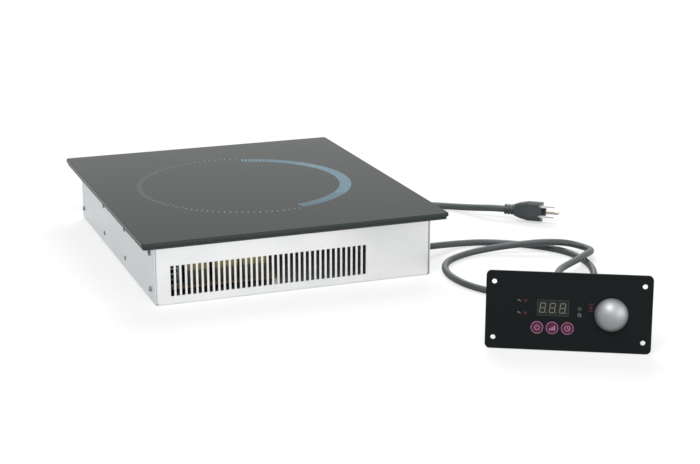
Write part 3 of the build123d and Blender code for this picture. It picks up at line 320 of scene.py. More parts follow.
def surface(
        name, light, dark, grain, roughness, spread, bump, stretch=(1, 1, 1), cloud=40.0, **sockets):
    """A surface with fine grain and broad clouding, sized in millimetres on Object coordinates."""
    material = bpy.data.materials.new(name)
    material.use_nodes = True
    tree = material.node_tree
    tree.nodes.clear()
    place = add_node(tree, "ShaderNodeTexCoord").outputs["Object"]
    fine_at = add_node(tree, "ShaderNodeMapping", {
        "Vector": place, "Scale": [side / (grain * MM) for side in stretch]}).outputs[0]
    fine = add_node(tree, "ShaderNodeTexNoise", {
        "Vector": fine_at, "Scale": 1.0, "Detail": FINE_DETAIL}).outputs["Fac"]
    broad = add_node(tree, "ShaderNodeTexNoise", {
        "Vector": place, "Scale": 1 / (cloud * MM), "Detail": BROAD_DETAIL}).outputs["Fac"]
    both = math_node(tree, "ADD", fine, broad)
    share = add_node(tree, "ShaderNodeMapRange", {
        "Value": both, "From Min": SPREAD_LOW, "From Max": SPREAD_HIGH}).outputs[0]
    colour = add_node(tree, "ShaderNodeMix", {
        0: share, 6: (*dark, 1), 7: (*light, 1)}, data_type="RGBA").outputs[2]
    rough = add_node(tree, "ShaderNodeMapRange", {
        "Value": share, "To Min": roughness - spread, "To Max": roughness + spread}).outputs[0]
    normal = add_node(tree, "ShaderNodeBump", {
        "Height": fine, "Distance": bump * MM, "Strength": BUMP_STRENGTH}).outputs[0]
    shader = add_node(tree, "ShaderNodeBsdfPrincipled", {
        "Base Color": colour, "Roughness": rough, "Normal": normal})
    for socket, value in sockets.items():
        shader.inputs[socket.replace("_", " ")].default_value = value
    add_node(tree, "ShaderNodeOutputMaterial", {"Surface": shader.outputs[0]})
    return material


def tint_slab(material, axis, at, reach, colour):
    """Give a material another colour where a point's place along an axis is within reach of a value."""
    tree = material.node_tree
    shader = tree.nodes["Principled BSDF"]
    place = add_node(tree, "ShaderNodeTexCoord").outputs["Object"]
    along = add_node(tree, "ShaderNodeVectorMath", {
        0: place, 1: axis}, operation="DOT_PRODUCT").outputs["Value"]
    near = math_node(tree, "COMPARE", along, at, reach)
    plain = shader.inputs["Base Color"].links[0].from_socket
    tint = add_node(tree, "ShaderNodeMix", {0: near, 6: plain, 7: (*colour, 1)}, data_type="RGBA")
    tree.links.new(tint.outputs[2], shader.inputs["Base Color"])


def paint(material, *names):
    """Give CAD nodes a material."""
    for name in names:
        data = nodes[name].data
        data.materials.clear()
        data.materials.append(material)


def place_piece(name, data, body):
    """Put finished geometry into the scene, riding on a body."""
    piece = bpy.data.objects.new(name, data)
    bpy.context.scene.collection.objects.link(piece)
    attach(piece, body)
    return piece


def print_piece(name, outlines, thickness, plane, material, body):
    """A thin print: flat closed outlines in millimetres on a plane, raised by their thickness."""
    work = bmesh.new()
    for outline in outlines:
        low = [work.verts.new(plane @ Vector((x * MM, y * MM, 0))) for x, y in outline]
        high = [work.verts.new(plane @ Vector((x * MM, y * MM, thickness))) for x, y in outline]
        work.faces.new(reversed(low))
        work.faces.new(high)
        for at in range(len(outline)):
            after = (at + 1) % len(outline)
            work.faces.new((low[at], low[after], high[after], high[at]))
    bmesh.ops.recalc_face_normals(work, faces=work.faces)
    mesh = bpy.data.meshes.new(name)
    work.to_mesh(mesh)
    work.free()
    mesh.materials.append(material)
    return place_piece(name, mesh, body)


def arc(middle, inner, outer, start, turn, steps=24):
    """Outline of a piece of a ring, from a start angle through a turn in degrees."""
    x, y = middle
    angles = [math.radians(start + turn * step / steps) for step in range(steps + 1)]
    rim = [(x + outer * math.cos(angle), y + outer * math.sin(angle)) for angle in angles]
    bore = [(x + inner * math.cos(angle), y + inner * math.sin(angle)) for angle in angles]
    return rim + bore[::-1]


def ring(middle, inner, outer):
    """A closed ring as two halves, so that each is a plain outline."""
    return [arc(middle, inner, outer, start, 180) for start in (0, 180)]


def disc(middle, radius, steps=20):
    """Outline of a round spot."""
    x, y = middle
    angles = [math.tau * step / steps for step in range(steps)]
    return [(x + radius * math.cos(angle), y + radius * math.sin(angle)) for angle in angles]


def bar(start, end, width, point=0.0):
    """Outline of a straight bar, with ends that may come to a point."""
    start = Vector(start)
    end = Vector(end)
    along = (end - start).normalized()
    side = Vector((-along.y, along.x)) * width / 2
    tip = along * point
    corners = [start + tip - side, end - tip - side, end, end - tip + side, start + tip + side, start]
    if point == 0:
        corners = [start - side, end - side, end + side, start + side]
    return [tuple(corner) for corner in corners]


def clock(middle, radius, line):
    """Outlines of a small clock sign."""
    x, y = middle
    return ring(middle, radius - line, radius) + [
        bar(middle, (x + radius * across, y + radius * up), line) for across, up in CLOCK_HANDS
    ]


def far_end(name, direction):
    """Middle of the flat end that a CAD node has farthest along a direction."""
    points = [vertex.co for vertex in nodes[name].data.vertices]
    reach = max(point.dot(direction) for point in points)
    end = [point for point in points if point.dot(direction) > reach - END_TOLERANCE * MM]
    return Vector([(min(values) + max(values)) / 2 for values in zip(*end)])


def lay_cord(name, points, diameter, material):
    """A round cord on one smooth spline whose control points are the route's, in metres."""
    data = bpy.data.curves.new(name, "CURVE")
    data.dimensions = "3D"
    data.bevel_depth = diameter / 2
    data.bevel_resolution = CORD_ROUND_STEPS
    data.resolution_u = CORD_LONG_STEPS
    data.use_fill_caps = True
    spline = data.splines.new("NURBS")
    spline.points.add(len(points) - 1)
    for point, at in zip(spline.points, points):
        point.co = (*at, 1)
    spline.order_u = 3
    spline.use_endpoint_u = True
    data.materials.append(material)
    return place_piece(name, data, "cooktop")


def metres(route):
    """A route's points turned from millimetres to metres."""
    return [Vector(point) * MM for point in route]


def coil_route():
    """Control points of the tied coil: half circles that shrink, climb a layer and grow again."""
    last = 2 * COIL_LAYER_HALF_TURNS + 1
    ends = []
    for turn in range(last + 1):
        radius = COIL_R - min(turn, last - turn) * COIL_PITCH / 2
        level = COIL_LOW if turn <= COIL_LAYER_HALF_TURNS else COIL_HIGH
        ends.append((COIL_MIDDLE[0] - (-1) ** turn * radius, level))
    # The spline touches its polygon's sides at their middles, so the points stand outside the turns
    swell = 1 / math.cos(math.pi / COIL_POINTS / 2)
    points = []
    for turn, ((x, z), (next_x, next_z)) in enumerate(zip(ends, ends[1:])):
        radius = (x - next_x) / 2 * swell
        for step in range(COIL_POINTS):
            angle = math.pi * (step + 0.5) / COIL_POINTS
            points.append((
                (x + next_x) / 2 + radius * math.cos(angle),
                COIL_MIDDLE[1] + (-1) ** turn * abs(radius) * math.sin(angle),
                z + (next_z - z) * (1 - math.cos(angle)) / 2,
            ))
    return points


def bars_tree():
    """Geometry nodes: bars spread round a circle, longest and widest at one place in the row."""
    tree = bpy.data.node_groups.new("bars_round_circle", "GeometryNodeTree")
    sockets = (
        ("Count", "Int"), ("Start", "Float"), ("Step", "Float"), ("Radius", "Float"),
        ("Length", "Float"), ("End length", "Float"), ("Width", "Float"), ("End width", "Float"),
        ("Thickness", "Float"), ("Peak", "Float"), ("Place", "Vector"), ("Material", "Material"),
    )
    for name, kind in sockets:
        tree.interface.new_socket(name, in_out="INPUT", socket_type="NodeSocket" + kind)
    tree.interface.new_socket("Geometry", in_out="OUTPUT", socket_type="NodeSocketGeometry")
    given = add_node(tree, "NodeGroupInput").outputs
    index = add_node(tree, "GeometryNodeInputIndex").outputs[0]
    angle = math_node(tree, "MULTIPLY_ADD", index, given["Step"], given["Start"])
    # How far a bar is from the row's peak, from 0 there to 1 at the farther end
    last = math_node(tree, "SUBTRACT", given["Count"], 1.0)
    done = math_node(tree, "DIVIDE", index, last)
    apart = math_node(tree, "ABSOLUTE", math_node(tree, "SUBTRACT", done, given["Peak"]))
    after = math_node(tree, "SUBTRACT", 1.0, given["Peak"])
    most = math_node(tree, "MAXIMUM", after, given["Peak"])
    share = math_node(tree, "DIVIDE", apart, most)
    length = add_node(tree, "ShaderNodeMix", {
        0: share, 2: given["Length"], 3: given["End length"]}).outputs[0]
    width = add_node(tree, "ShaderNodeMix", {
        0: share, 2: given["Width"], 3: given["End width"]}).outputs[0]
    # Each bar's outer end is on the circle
    half = math_node(tree, "MULTIPLY", length, 0.5)
    radius = math_node(tree, "SUBTRACT", given["Radius"], half)
    toward = add_node(tree, "ShaderNodeCombineXYZ", {
        "X": math_node(tree, "COSINE", angle), "Y": math_node(tree, "SINE", angle)}).outputs[0]
    spot = add_node(tree, "ShaderNodeVectorMath", {
        0: toward, "Scale": radius}, operation="SCALE").outputs[0]
    at = add_node(tree, "ShaderNodeVectorMath", {
        0: spot, 1: given["Place"]}, operation="ADD").outputs[0]
    points = add_node(tree, "GeometryNodePoints", {"Count": given["Count"], "Position": at}).outputs[0]
    size = add_node(tree, "ShaderNodeCombineXYZ", {
        "X": length, "Y": width, "Z": given["Thickness"]}).outputs[0]
    turn = add_node(tree, "ShaderNodeCombineXYZ", {"Z": angle}).outputs[0]
    block = add_node(tree, "GeometryNodeMeshCube", {"Size": (1, 1, 1)}).outputs["Mesh"]
    bars = add_node(tree, "GeometryNodeInstanceOnPoints", {
        "Points": points, "Instance": block, "Rotation": turn, "Scale": size}).outputs[0]
    real = add_node(tree, "GeometryNodeRealizeInstances", {"Geometry": bars}).outputs[0]
    shown = add_node(tree, "GeometryNodeSetMaterial", {
        "Geometry": real, "Material": given["Material"]}).outputs[0]
    add_node(tree, "NodeGroupOutput", {"Geometry": shown})
    return tree


def grow(name, tree, values, body):
    """Run a geometry tree with named values and keep its result as a plain mesh."""
    maker = bpy.data.objects.new(name + "_maker", bpy.data.meshes.new(name + "_maker"))
    bpy.context.scene.collection.objects.link(maker)
    step = maker.modifiers.new("grow", "NODES")
    step.node_group = tree
    for item in tree.interface.items_tree:
        if item.in_out == "INPUT":
            step[item.identifier] = values[item.name]
    graph = bpy.context.evaluated_depsgraph_get()
    mesh = bpy.data.meshes.new_from_object(maker.evaluated_get(graph))
    mesh.name = name
    bpy.data.objects.remove(maker)
    return place_piece(name, mesh, body)


def direct_rays(tree):
    """1 for rays that show the studio: to the camera, in reflections and through glass."""
    path = add_node(tree, "ShaderNodeLightPath").outputs
    seen = math_node(tree, "MAXIMUM", path["Is Camera Ray"], path["Is Glossy Ray"])
    return math_node(tree, "MAXIMUM", seen, path["Is Transmission Ray"])


def set_camera(scene):
    """The photograph's camera."""
    lens = bpy.data.cameras.new("photo_camera")
    lens.lens = CAMERA_LENS
    lens.sensor_width = CAMERA_SENSOR
    lens.sensor_fit = "HORIZONTAL"
    camera = bpy.data.objects.new("photo_camera", lens)
    back = CAMERA_RIGHT.cross(CAMERA_UP)
    axes = Matrix((CAMERA_RIGHT, CAMERA_UP, back)).transposed().to_4x4()
    camera.matrix_world = Matrix.Translation(CAMERA_SPOT) @ axes
    scene.collection.objects.link(camera)
    scene.camera = camera


def lay_floor(scene):
    """A wide floor of white paper."""
    work = bmesh.new()
    bmesh.ops.create_grid(work, x_segments=1, y_segments=1, size=FLOOR_HALF)
    mesh = bpy.data.meshes.new("floor")
    work.to_mesh(mesh)
    work.free()
    floor = bpy.data.objects.new("floor", mesh)
    floor.location.z = -FLOOR_DROP
    scene.collection.objects.link(floor)
    # White paper: white to the camera, a little dimmer in reflections. It keeps a soft shadow near the
    # part, and fades into the white background farther out.
    paper = bpy.data.materials.new("white_paper")
    paper.use_nodes = True
    tree = paper.node_tree
    tree.nodes.clear()
    path = add_node(tree, "ShaderNodeLightPath").outputs
    place = add_node(tree, "ShaderNodeTexCoord").outputs["Object"]
    away = add_node(tree, "ShaderNodeVectorMath", {0: place}, operation="LENGTH").outputs["Value"]
    fade = add_node(tree, "ShaderNodeMapRange", {
        "Value": away, "From Min": FLOOR_NEAR, "From Max": FLOOR_FAR,
        "To Min": FLOOR_GLOW, "To Max": 1.0}).outputs[0]
    shine = add_node(tree, "ShaderNodeMapRange", {
        "Value": path["Is Camera Ray"], "To Min": FLOOR_SHINE, "To Max": fade}).outputs[0]
    glow = math_node(tree, "MULTIPLY", direct_rays(tree), shine)
    lit = add_node(tree, "ShaderNodeBsdfDiffuse", {"Color": (*FLOOR_COLOUR, 1)}).outputs[0]
    white = add_node(tree, "ShaderNodeEmission", {"Strength": glow}).outputs[0]
    both = add_node(tree, "ShaderNodeAddShader", {0: lit, 1: white}).outputs[0]
    add_node(tree, "ShaderNodeOutputMaterial", {"Surface": both})
    mesh.materials.append(paper)


def set_sky(scene):
    """A white sky that shows in full and lights the scene only a little."""
    world = bpy.data.worlds.new("white_studio")
    world.use_nodes = True
    tree = world.node_tree
    tree.nodes.clear()
    glow = add_node(tree, "ShaderNodeMapRange", {
        "Value": direct_rays(tree), "To Min": SKY_FILL, "To Max": 1.0}).outputs[0]
    sky = add_node(tree, "ShaderNodeBackground", {
        "Color": (1, 1, 1, 1), "Strength": glow}).outputs[0]
    add_node(tree, "ShaderNodeOutputWorld", {"Surface": sky})
    scene.world = world


def hang_lamp(scene, name, at, aim, size, power):
    """A soft light at a place, shining along a direction."""
    light = bpy.data.lights.new(name, "AREA")
    light.shape = "RECTANGLE"
    light.size, light.size_y = size
    light.energy = power
    lamp = bpy.data.objects.new(name, light)
    turn = aim.to_track_quat("-Z", "Y").to_matrix().to_4x4()
    lamp.matrix_world = Matrix.Translation(at) @ turn
    scene.collection.objects.link(lamp)


# Operators, one for the stage and one for each group of like pieces


class COOKTOP_OT_stage(bpy.types.Operator):
    """Set the camera, the floor, the lights and the white background"""

    bl_idname = "cooktop.stage"
    bl_label = "Stage"

    def execute(self, context):
        scene = context.scene
        scene.view_settings.view_transform = "Standard"
        set_camera(scene)
        lay_floor(scene)
        set_sky(scene)
        for name, at, size, power in LAMPS:
            hang_lamp(scene, name, at, LAMP_AIM - Vector(at), (size, size), power)
        # A weak strip behind the front panel stands for the room light that the real slots let in
        hang_lamp(scene, "inside_light", STRIP_SPOT, STRIP_AIM, STRIP_SIZE, STRIP_POWER)
        return {"FINISHED"}


class COOKTOP_OT_cords(bpy.types.Operator):
    """Lay the control cable and the mains cord"""

    bl_idname = "cooktop.cords"
    bl_label = "Cords"

    def execute(self, context):
        sizes = context.scene.cooktop_cords
        # Extruded PVC sheath: matt dark grey with a faint dusty bloom
        sheath = surface("pvc_sheath", sizes.colour, darker(sizes.colour, 0.75),
                         grain=0.5, roughness=0.5, spread=0.06, bump=0.05, cloud=25.0)
        box_mouth = far_end("box_gland", -panel_out)
        route = metres(CABLE_ROUTE) + [box_mouth - panel_out * CABLE_STRAIGHT * MM, box_mouth]
        cable = lay_cord("control_cable_lay", route, sizes.cable, sheath)
        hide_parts("control_cable")
        ahead = Vector(mounts["plug_earth_pin"]["axis"]).normalized()
        boot = far_end("plug_body", -ahead)
        route = metres(LEAD_ROUTE + coil_route() + RUN_ROUTE)
        route += [boot - ahead * MAINS_STRAIGHT * MM, boot]
        mains = lay_cord("mains_cord_lay", route, sizes.mains, sheath)
        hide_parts("mains_cord_lead", "mains_cord_coil", "mains_cord_run")
        # Woven hook-and-loop tape: matt black with a coarse nap
        paint(surface("hook_tape", linear("#2a2c2d"), linear("#141516"),
                      grain=0.7, roughness=0.85, spread=0.05, bump=0.15),
              "cord_tie")
        # Moulded PVC: smoother than the sheath, with a soft sheen on its edges
        paint(surface("moulded_pvc", linear("#30383a"), linear("#22292b"),
                      grain=0.6, roughness=0.42, spread=0.05, bump=0.04),
              "plug_body", "control_gland", "box_gland", "mains_strain_relief")
        # Pressed nickel-plated brass: bright, with a trace of warmth and a fine grain
        paint(surface("nickel_plate", linear("#c3beb6"), linear("#9d978d"),
                      grain=0.3, roughness=0.28, spread=0.05, bump=0.01, Metallic=1.0),
              "plug_blades", "plug_earth_pin")
        return {"FINISHED"}


class COOKTOP_OT_glass(bpy.types.Operator):
    """Dress the glass top and its frame, and print the ring"""

    bl_idname = "cooktop.glass"
    bl_label = "Glass top"

    def execute(self, context):
        marks = context.scene.cooktop_marks
        low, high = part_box("glass_top")
        top = high.z
        # Rolled and polished ceramic glass: black with a trace of green, smooth but for faint smears.
        # Its gloss is held back, so that it shows the grey of the photo under an all-white sky.
        glass = surface("ceramic_glass", linear("#0c1917"), linear("#091312"),
                        grain=3.0, roughness=0.08, spread=0.03, bump=0.0005, cloud=90.0, IOR=1.5,
                        Specular_IOR_Level=0.075, Specular_Tint=(0.86, 1.0, 0.97, 1.0))
        # Its edge is ground: matt dark grey
        tint_slab(glass, UPWARDS, low.z, top - low.z - EDGE_DEPTH, linear("#454c4b"))
        paint(glass, "glass_top")
        # Cast silicone bead: matt black
        paint(surface("silicone_bead", linear("#1c1e1f"), linear("#121314"),
                      grain=0.8, roughness=0.7, spread=0.06, bump=0.02),
              "glass_seal")
        # Powder-coated steel: satin dark grey with a fine orange-peel skin
        paint(surface("grey_powder_coat", linear("#474c4c"), linear("#393e3e"),
                      grain=0.7, roughness=0.5, spread=0.05, bump=0.03, Specular_IOR_Level=0.3),
              "top_frame")
        # Fired enamel: nearly as smooth as the glass, blue-grey on the band and greyer on the ticks
        enamel, tick_enamel = [
            surface(name, colour, darker(colour, 0.85), grain=0.6, roughness=0.2, spread=0.04,
                    bump=0.002, cloud=20.0, Specular_IOR_Level=0.1)
            for name, colour in (("fired_enamel", marks.colour), ("grey_enamel", marks.tick_colour))
        ]
        plane = Matrix.Translation((*marks.middle, top))
        half = math.degrees(marks.solid)
        bore = marks.radius - marks.band
        band = arc((0, 0), bore / MM, marks.radius / MM, -half, 2 * half, BAND_STEPS)
        print_piece("ring_band", [band], marks.thickness, plane, enamel, "cooktop")
        tree = bars_tree()
        shared = {
            "Thickness": marks.thickness, "Material": enamel,
            "Place": (*marks.middle, top + marks.thickness / 2),
        }
        step = (marks.reach - marks.solid) / marks.hatches
        pitch = step * bore
        for name, side in (("ring_hatch_front", -1), ("ring_hatch_rear", 1)):
            grow(name, tree, shared | {
                "Count": marks.hatches, "Start": side * (marks.solid + step / 2), "Step": side * step,
                "Radius": marks.radius, "Length": marks.band, "End length": marks.band,
                "Width": pitch * HATCH_WIDE, "End width": pitch * HATCH_NARROW, "Peak": 0.0,
            }, "cooktop")
        step = 2 * (math.pi - marks.reach) / (marks.ticks + 1)
        grow("ring_ticks", tree, shared | {
            "Count": marks.ticks, "Start": marks.reach + step, "Step": step,
            "Radius": marks.tick_radius, "Length": marks.tick, "End length": marks.tick,
            "Width": marks.tick_width, "End width": marks.tick_width * TICK_NARROW, "Peak": 0.5,
            "Material": tick_enamel,
        }, "cooktop")
        return {"FINISHED"}


class COOKTOP_OT_housing(bpy.types.Operator):
    """Dress the sheet-metal housing and its fasteners"""

    bl_idname = "cooktop.housing"
    bl_label = "Housing"

    def execute(self, context):
        # Rolled and lightly brushed stainless sheet: bright, with fine level lines and soft clouding.
        # The lines are drawn coarser than the real ones so that they show.
        paint(surface("brushed_sheet", linear("#f1f1f0"), linear("#e3e5e5"),
                      grain=0.35, roughness=0.42, spread=0.04, bump=0.005, stretch=(0.02, 0.02, 1.0),
                      cloud=70.0, Metallic=1.0),
              "front_panel", "rear_panel")
        # Plain rolled stainless sheet: a shade greyer and duller, without lines
        paint(surface("rolled_sheet", linear("#dfe2e3"), linear("#d0d4d5"),
                      grain=1.5, roughness=0.45, spread=0.04, bump=0.003, cloud=90.0, Metallic=1.0),
              "chassis", "front_bridge", "rear_bridge")
        # Dull zinc plate: grey, softer and darker than the sheet round it
        paint(surface("zinc_plate", linear("#8b8f91"), linear("#676b6d"),
                      grain=0.4, roughness=0.35, spread=0.06, bump=0.01, Metallic=1.0),
              "casing_screws", "bridge_rivets", "fan_screws", "box_screws", "earth_stud")
        return {"FINISHED"}


class COOKTOP_OT_inside(bpy.types.Operator):
    """Dress the coil, the electronics and the fan"""

    bl_idname = "cooktop.inside"
    bl_label = "Inside"

    def execute(self, context):
        # Twisted enamelled strands: coppery, with a rough grain
        paint(surface("litz_wire", linear("#b4683a"), linear("#8a4a26"),
                      grain=0.5, roughness=0.4, spread=0.08, bump=0.06, Metallic=0.9),
              "coil_winding")
        # Split mica: pale and faintly flaky
        paint(surface("mica", linear("#cbbf9f"), linear("#b3a684"),
                      grain=4.0, roughness=0.5, spread=0.1, bump=0.02),
              "mica_sheet")
        # Moulded glass-filled nylon: off-white and dull
        paint(surface("white_nylon", linear("#dcd8cb"), linear("#c9c4b5"),
                      grain=0.6, roughness=0.55, spread=0.05, bump=0.02),
              "coil_former", "board_spacers", "terminal_block", "control_spacers", "sensor_bush")
        # Sintered ferrite: dark grey and gritty
        paint(surface("ferrite", linear("#3a3a3c"), linear("#262628"),
                      grain=0.5, roughness=0.75, spread=0.08, bump=0.04),
              "ferrite_bars")
        # Extruded aluminium: soft grey with drawing lines
        paint(surface("extruded_aluminium", linear("#8f9294"), linear("#76797b"),
                      grain=0.5, roughness=0.4, spread=0.06, bump=0.02, stretch=(1.0, 0.03, 1.0),
                      Metallic=1.0),
              "coil_tray", "heat_sink")
        # Pressed phenolic board: brown with a faint fibre
        paint(surface("phenolic_board", linear("#66552a"), linear("#4e401d"),
                      grain=0.6, roughness=0.45, spread=0.06, bump=0.02, stretch=(1.0, 0.2, 1.0)),
              "power_board", "control_board")
        # Moulding epoxy: near black and dull
        paint(surface("moulding_epoxy", linear("#232425"), linear("#161718"),
                      grain=0.4, roughness=0.6, spread=0.06, bump=0.02),
              "power_transistors", "bridge_rectifier", "encoder_body", "key_switches",
              "temperature_sensor")
        # Moulded polyester cases: dark olive, with a lighter yellow painted on their tops as the light
        # that falls there
        case = surface("yellow_case", linear("#3c3821"), linear("#2b2817"),
                       grain=0.8, roughness=0.35, spread=0.05, bump=0.02)
        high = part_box("film_capacitors")[1]
        # Painted light: a lighter yellow on the top of each case
        tint_slab(case, UPWARDS, high.z, CASE_LIT_TOP, linear("#746c38"))
        paint(case, "film_capacitors")
        # Enamelled copper on a ring core: red-brown, with a coarse grain for its turns
        paint(surface("choke_wire", linear("#96602f"), linear("#6c401d"),
                      grain=1.2, roughness=0.35, spread=0.08, bump=0.15),
              "filter_choke")
        # Moulded polyester: satin dark grey
        paint(surface("fan_moulding", linear("#3a3e3f"), linear("#2b2f30"),
                      grain=0.5, roughness=0.5, spread=0.05, bump=0.02),
              "fan_frame", "fan_impeller", "air_duct")
        return {"FINISHED"}


class COOKTOP_OT_panel(bpy.types.Operator):
    """Dress the remote panel's plate, box and lights, and print its signs"""

    bl_idname = "cooktop.panel"
    bl_label = "Remote panel"

    def execute(self, context):
        looks = context.scene.cooktop_controls
        # Printed polycarbonate overlay: black, with a fine matt texture that kills most of its gloss
        paint(surface("printed_overlay", looks.plate, darker(looks.plate, 0.75),
                      grain=0.4, roughness=0.5, spread=0.04, bump=0.01, Specular_IOR_Level=0.12),
              "panel_plate")
        # Powder-coated steel box: satin black
        paint(surface("box_powder_coat", linear("#26292a"), linear("#1b1d1e"),
                      grain=0.7, roughness=0.5, spread=0.05, bump=0.03),
              "control_box", "box_posts")
        # Cast acrylic lenses: dim red, and grey-green for the one in the timer's place along the panel
        lens = surface("indicator_lens", linear("#44222b"), linear("#361b22"),
                       grain=0.5, roughness=0.25, spread=0.04, bump=0.005, Specular_IOR_Level=0.25)
        timer = panel_middle.dot(panel_across) + TIMER_SPOT[0] * MM
        tint_slab(lens, panel_across, timer, TIMER_LENS_REACH * MM, linear("#3d4a46"))
        paint(lens, "indicator_lights")
        # White screen print: small generic signs beside the lights
        ink = surface("white_print", linear("#8d9393"), linear("#7b8181"),
                      grain=0.5, roughness=0.5, spread=0.04, bump=0.002)
        signs = clock(TIMER_SPOT, TIMER_CLOCK_R, TIMER_CLOCK_LINE)
        for x, y in UNIT_SPOTS:
            signs += ring((x, y), UNIT_BORE_R, UNIT_R)
            ends = [(x + reach, y - UNIT_BAR_DROP) for reach in UNIT_BAR]
            signs.append(bar(*ends, UNIT_BAR_WIDTH))
        print_piece("panel_signs", signs, PRINT_T * MM, panel_place, ink, "cooktop")
        # Dim red screen print: a plate with heat rising from it, round its light
        dim = surface("red_print", linear("#4c222b"), linear("#3e1b23"),
                      grain=0.5, roughness=0.5, spread=0.04, bump=0.002)
        x, y = HEAT_SPOT
        low = y - HEAT_PLATE_DROP
        heat = [bar((x - HEAT_PLATE_HALF, low), (x + HEAT_PLATE_HALF, low), HEAT_LINE)]
        foot, tip = HEAT_WAVE_RISE
        for place in HEAT_WAVES:
            start = (x + place - HEAT_WAVE_LEAN, y + foot)
            end = (x + place + HEAT_WAVE_LEAN, y + tip)
            heat.append(bar(start, end, HEAT_LINE))
        print_piece("heat_sign", heat, PRINT_T * MM, panel_place, dim, "cooktop")
        return {"FINISHED"}


class COOKTOP_OT_display(bpy.types.Operator):
    """Dress the display window and set its unlit digits"""

    bl_idname = "cooktop.display"
    bl_label = "Display"

    def execute(self, context):
        looks = context.scene.cooktop_controls
        # Smoked acrylic over a black display block: dark grey and a little glossier than the plate
        paint(surface("smoked_acrylic", linear("#202423"), linear("#1a1e1d"),
                      grain=2.0, roughness=0.3, spread=0.04, bump=0.002, Specular_IOR_Level=0.2),
              "display_window")
        # Moulded display block: dark grey and dull
        paint(surface("display_block", linear("#2c2b29"), linear("#201f1e"),
                      grain=0.8, roughness=0.5, spread=0.04, bump=0.01),
              "display_module")
        # Unlit diffusing resin: beige grey
        resin = surface("segment_resin", linear("#7f7d72"), linear("#6e6c62"),
                        grain=0.5, roughness=0.5, spread=0.04, bump=0.005)
        height = looks.digit / MM
        width = height * DIGIT_WIDTH_SHARE
        line = height * DIGIT_LINE_SHARE
        lean = math.tan(looks.slant)
        outlines = []
        for place in DIGIT_SPOTS:
            left = WINDOW_SPOT[0] + place - width / 2
            levels = [WINDOW_SPOT[1] + height * share for share in (-0.5, 0, 0.5)]
            lines = [((left, level), (left + width, level)) for level in levels]
            lines += [
                ((x, low), (x, high))
                for x in (left, left + width)
                for low, high in zip(levels, levels[1:])
            ]
            for start, end in lines:
                gap = (Vector(end) - Vector(start)).normalized() * SEGMENT_GAP
                outlines.append(bar(Vector(start) + gap, Vector(end) - gap, line, point=line / 2))
            outlines.append(disc((left + width + POINT_OFFSET, levels[0]), line * POINT_SHARE))
        slanted = [
            [(x + (y - WINDOW_SPOT[1]) * lean, y) for x, y in outline]
            for outline in outlines
        ]
        print_piece("display_digits", slanted, PRINT_T * MM, panel_place, resin, "cooktop")
        # Moulded edge round the window: a dark grey line
        trim = surface("window_trim", linear("#2e3331"), linear("#272b2a"),
                       grain=0.6, roughness=0.45, spread=0.04, bump=0.005)
        x, y = WINDOW_SPOT
        across = WINDOW_LINE[0] / 2
        tall = WINDOW_LINE[1] / 2
        sides = ((-1, -1), (1, -1), (1, 1), (-1, 1))
        corners = [(x + side * across, y + level * tall) for side, level in sides]
        edges = [
            bar(start, end, WINDOW_LINE_WIDTH)
            for start, end in zip(corners, corners[1:] + corners[:1])
        ]
        print_piece("window_edge", edges, PRINT_T * MM, panel_place, trim, "cooktop")
        return {"FINISHED"}


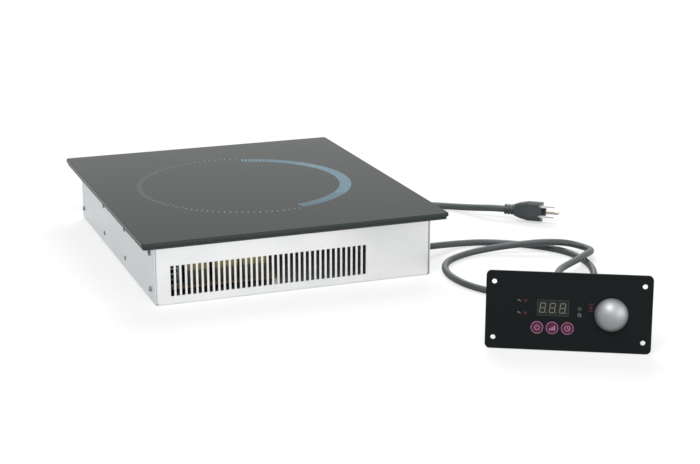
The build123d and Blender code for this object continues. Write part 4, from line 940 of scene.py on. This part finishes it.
class COOKTOP_OT_keys(bpy.types.Operator):
    """Dress the three push keys and print their signs"""

    bl_idname = "cooktop.keys"
    bl_label = "Keys"

    def execute(self, context):
        looks = context.scene.cooktop_controls
        # Moulded silicone key: purple, with a soft sheen
        paint(surface("purple_key", looks.key, darker(looks.key, 0.8),
                      grain=0.5, roughness=0.45, spread=0.04, bump=0.01, Specular_IOR_Level=0.25),
              *KEY_SPOTS)
        # Pad print: pale pink
        ink = surface("pink_print", looks.mark, darker(looks.mark, 0.88),
                      grain=0.5, roughness=0.45, spread=0.04, bump=0.002)
        top = panel_place @ Matrix.Translation((0, 0, KEY_PROUD * MM))
        for name, (x, y) in KEY_SPOTS.items():
            shapes = ring((x, y), KEY_RING_BORE_R, KEY_RING_R)
            if name == "on_off_key":
                shapes.append(arc((x, y), STANDBY_BORE_R, STANDBY_R, STANDBY_START, STANDBY_TURN))
                stroke = [(x, y + level) for level in STANDBY_STROKE]
                shapes.append(bar(*stroke, STANDBY_STROKE_WIDTH))
            elif name == "mode_key":
                foot = y + LEVEL_FOOT
                for place, tall in LEVELS:
                    shapes.append(bar((x + place, foot), (x + place, foot + tall), LEVEL_WIDTH))
            else:
                shapes += clock((x, y), KEY_CLOCK_R, KEY_CLOCK_LINE)
            print_piece(name + "_print", shapes, PRINT_T * MM, top, ink, name)
        return {"FINISHED"}


class COOKTOP_OT_knob(bpy.types.Operator):
    """Dress the knob and its encoder"""

    bl_idname = "cooktop.knob"
    bl_label = "Knob"

    def execute(self, context):
        # Satin silver lacquer on a moulded knob: soft grey with a broad highlight and a very fine grain
        paint(surface("silver_lacquer", linear("#a3a5a7"), linear("#939597"),
                      grain=0.4, roughness=0.5, spread=0.04, bump=0.008, Metallic=0.9),
              "control_knob")
        # Turned steel: bright, with a fine grain
        paint(surface("turned_steel", linear("#c4c6c7"), linear("#a7a9ab"),
                      grain=0.4, roughness=0.3, spread=0.05, bump=0.008, Metallic=1.0),
              "encoder_shaft", "encoder_nut")
        return {"FINISHED"}


class COOKTOP_PT_panel(bpy.types.Panel):
    """Sidebar panel that lists the steps"""

    bl_idname = "COOKTOP_PT_panel"
    bl_label = "Induction cooktop"
    bl_space_type = "VIEW_3D"
    bl_region_type = "UI"
    bl_category = "Cooktop"

    def draw(self, context):
        for step in STEPS:
            self.layout.operator("cooktop." + step)


STEPS = ("stage", "cords", "glass", "housing", "inside", "panel", "display", "keys", "knob")
GROUPS = {"cooktop_marks": GlassMarks, "cooktop_cords": Cords, "cooktop_controls": Controls}
CLASSES = (
    *GROUPS.values(), COOKTOP_OT_stage, COOKTOP_OT_cords, COOKTOP_OT_glass, COOKTOP_OT_housing,
    COOKTOP_OT_inside, COOKTOP_OT_panel, COOKTOP_OT_display, COOKTOP_OT_keys, COOKTOP_OT_knob,
    COOKTOP_PT_panel,
)


def register():
    for cls in CLASSES:
        bpy.utils.register_class(cls)
    for name, group in GROUPS.items():
        setattr(bpy.types.Scene, name, bpy.props.PointerProperty(type=group))


def unregister():
    for name in GROUPS:
        delattr(bpy.types.Scene, name)
    for cls in reversed(CLASSES):
        bpy.utils.unregister_class(cls)


def main():
    register()
    for step in STEPS:
        getattr(bpy.ops.cooktop, step)()
    bpy.context.view_layer.update()


if __name__ == "__main__":
    main()
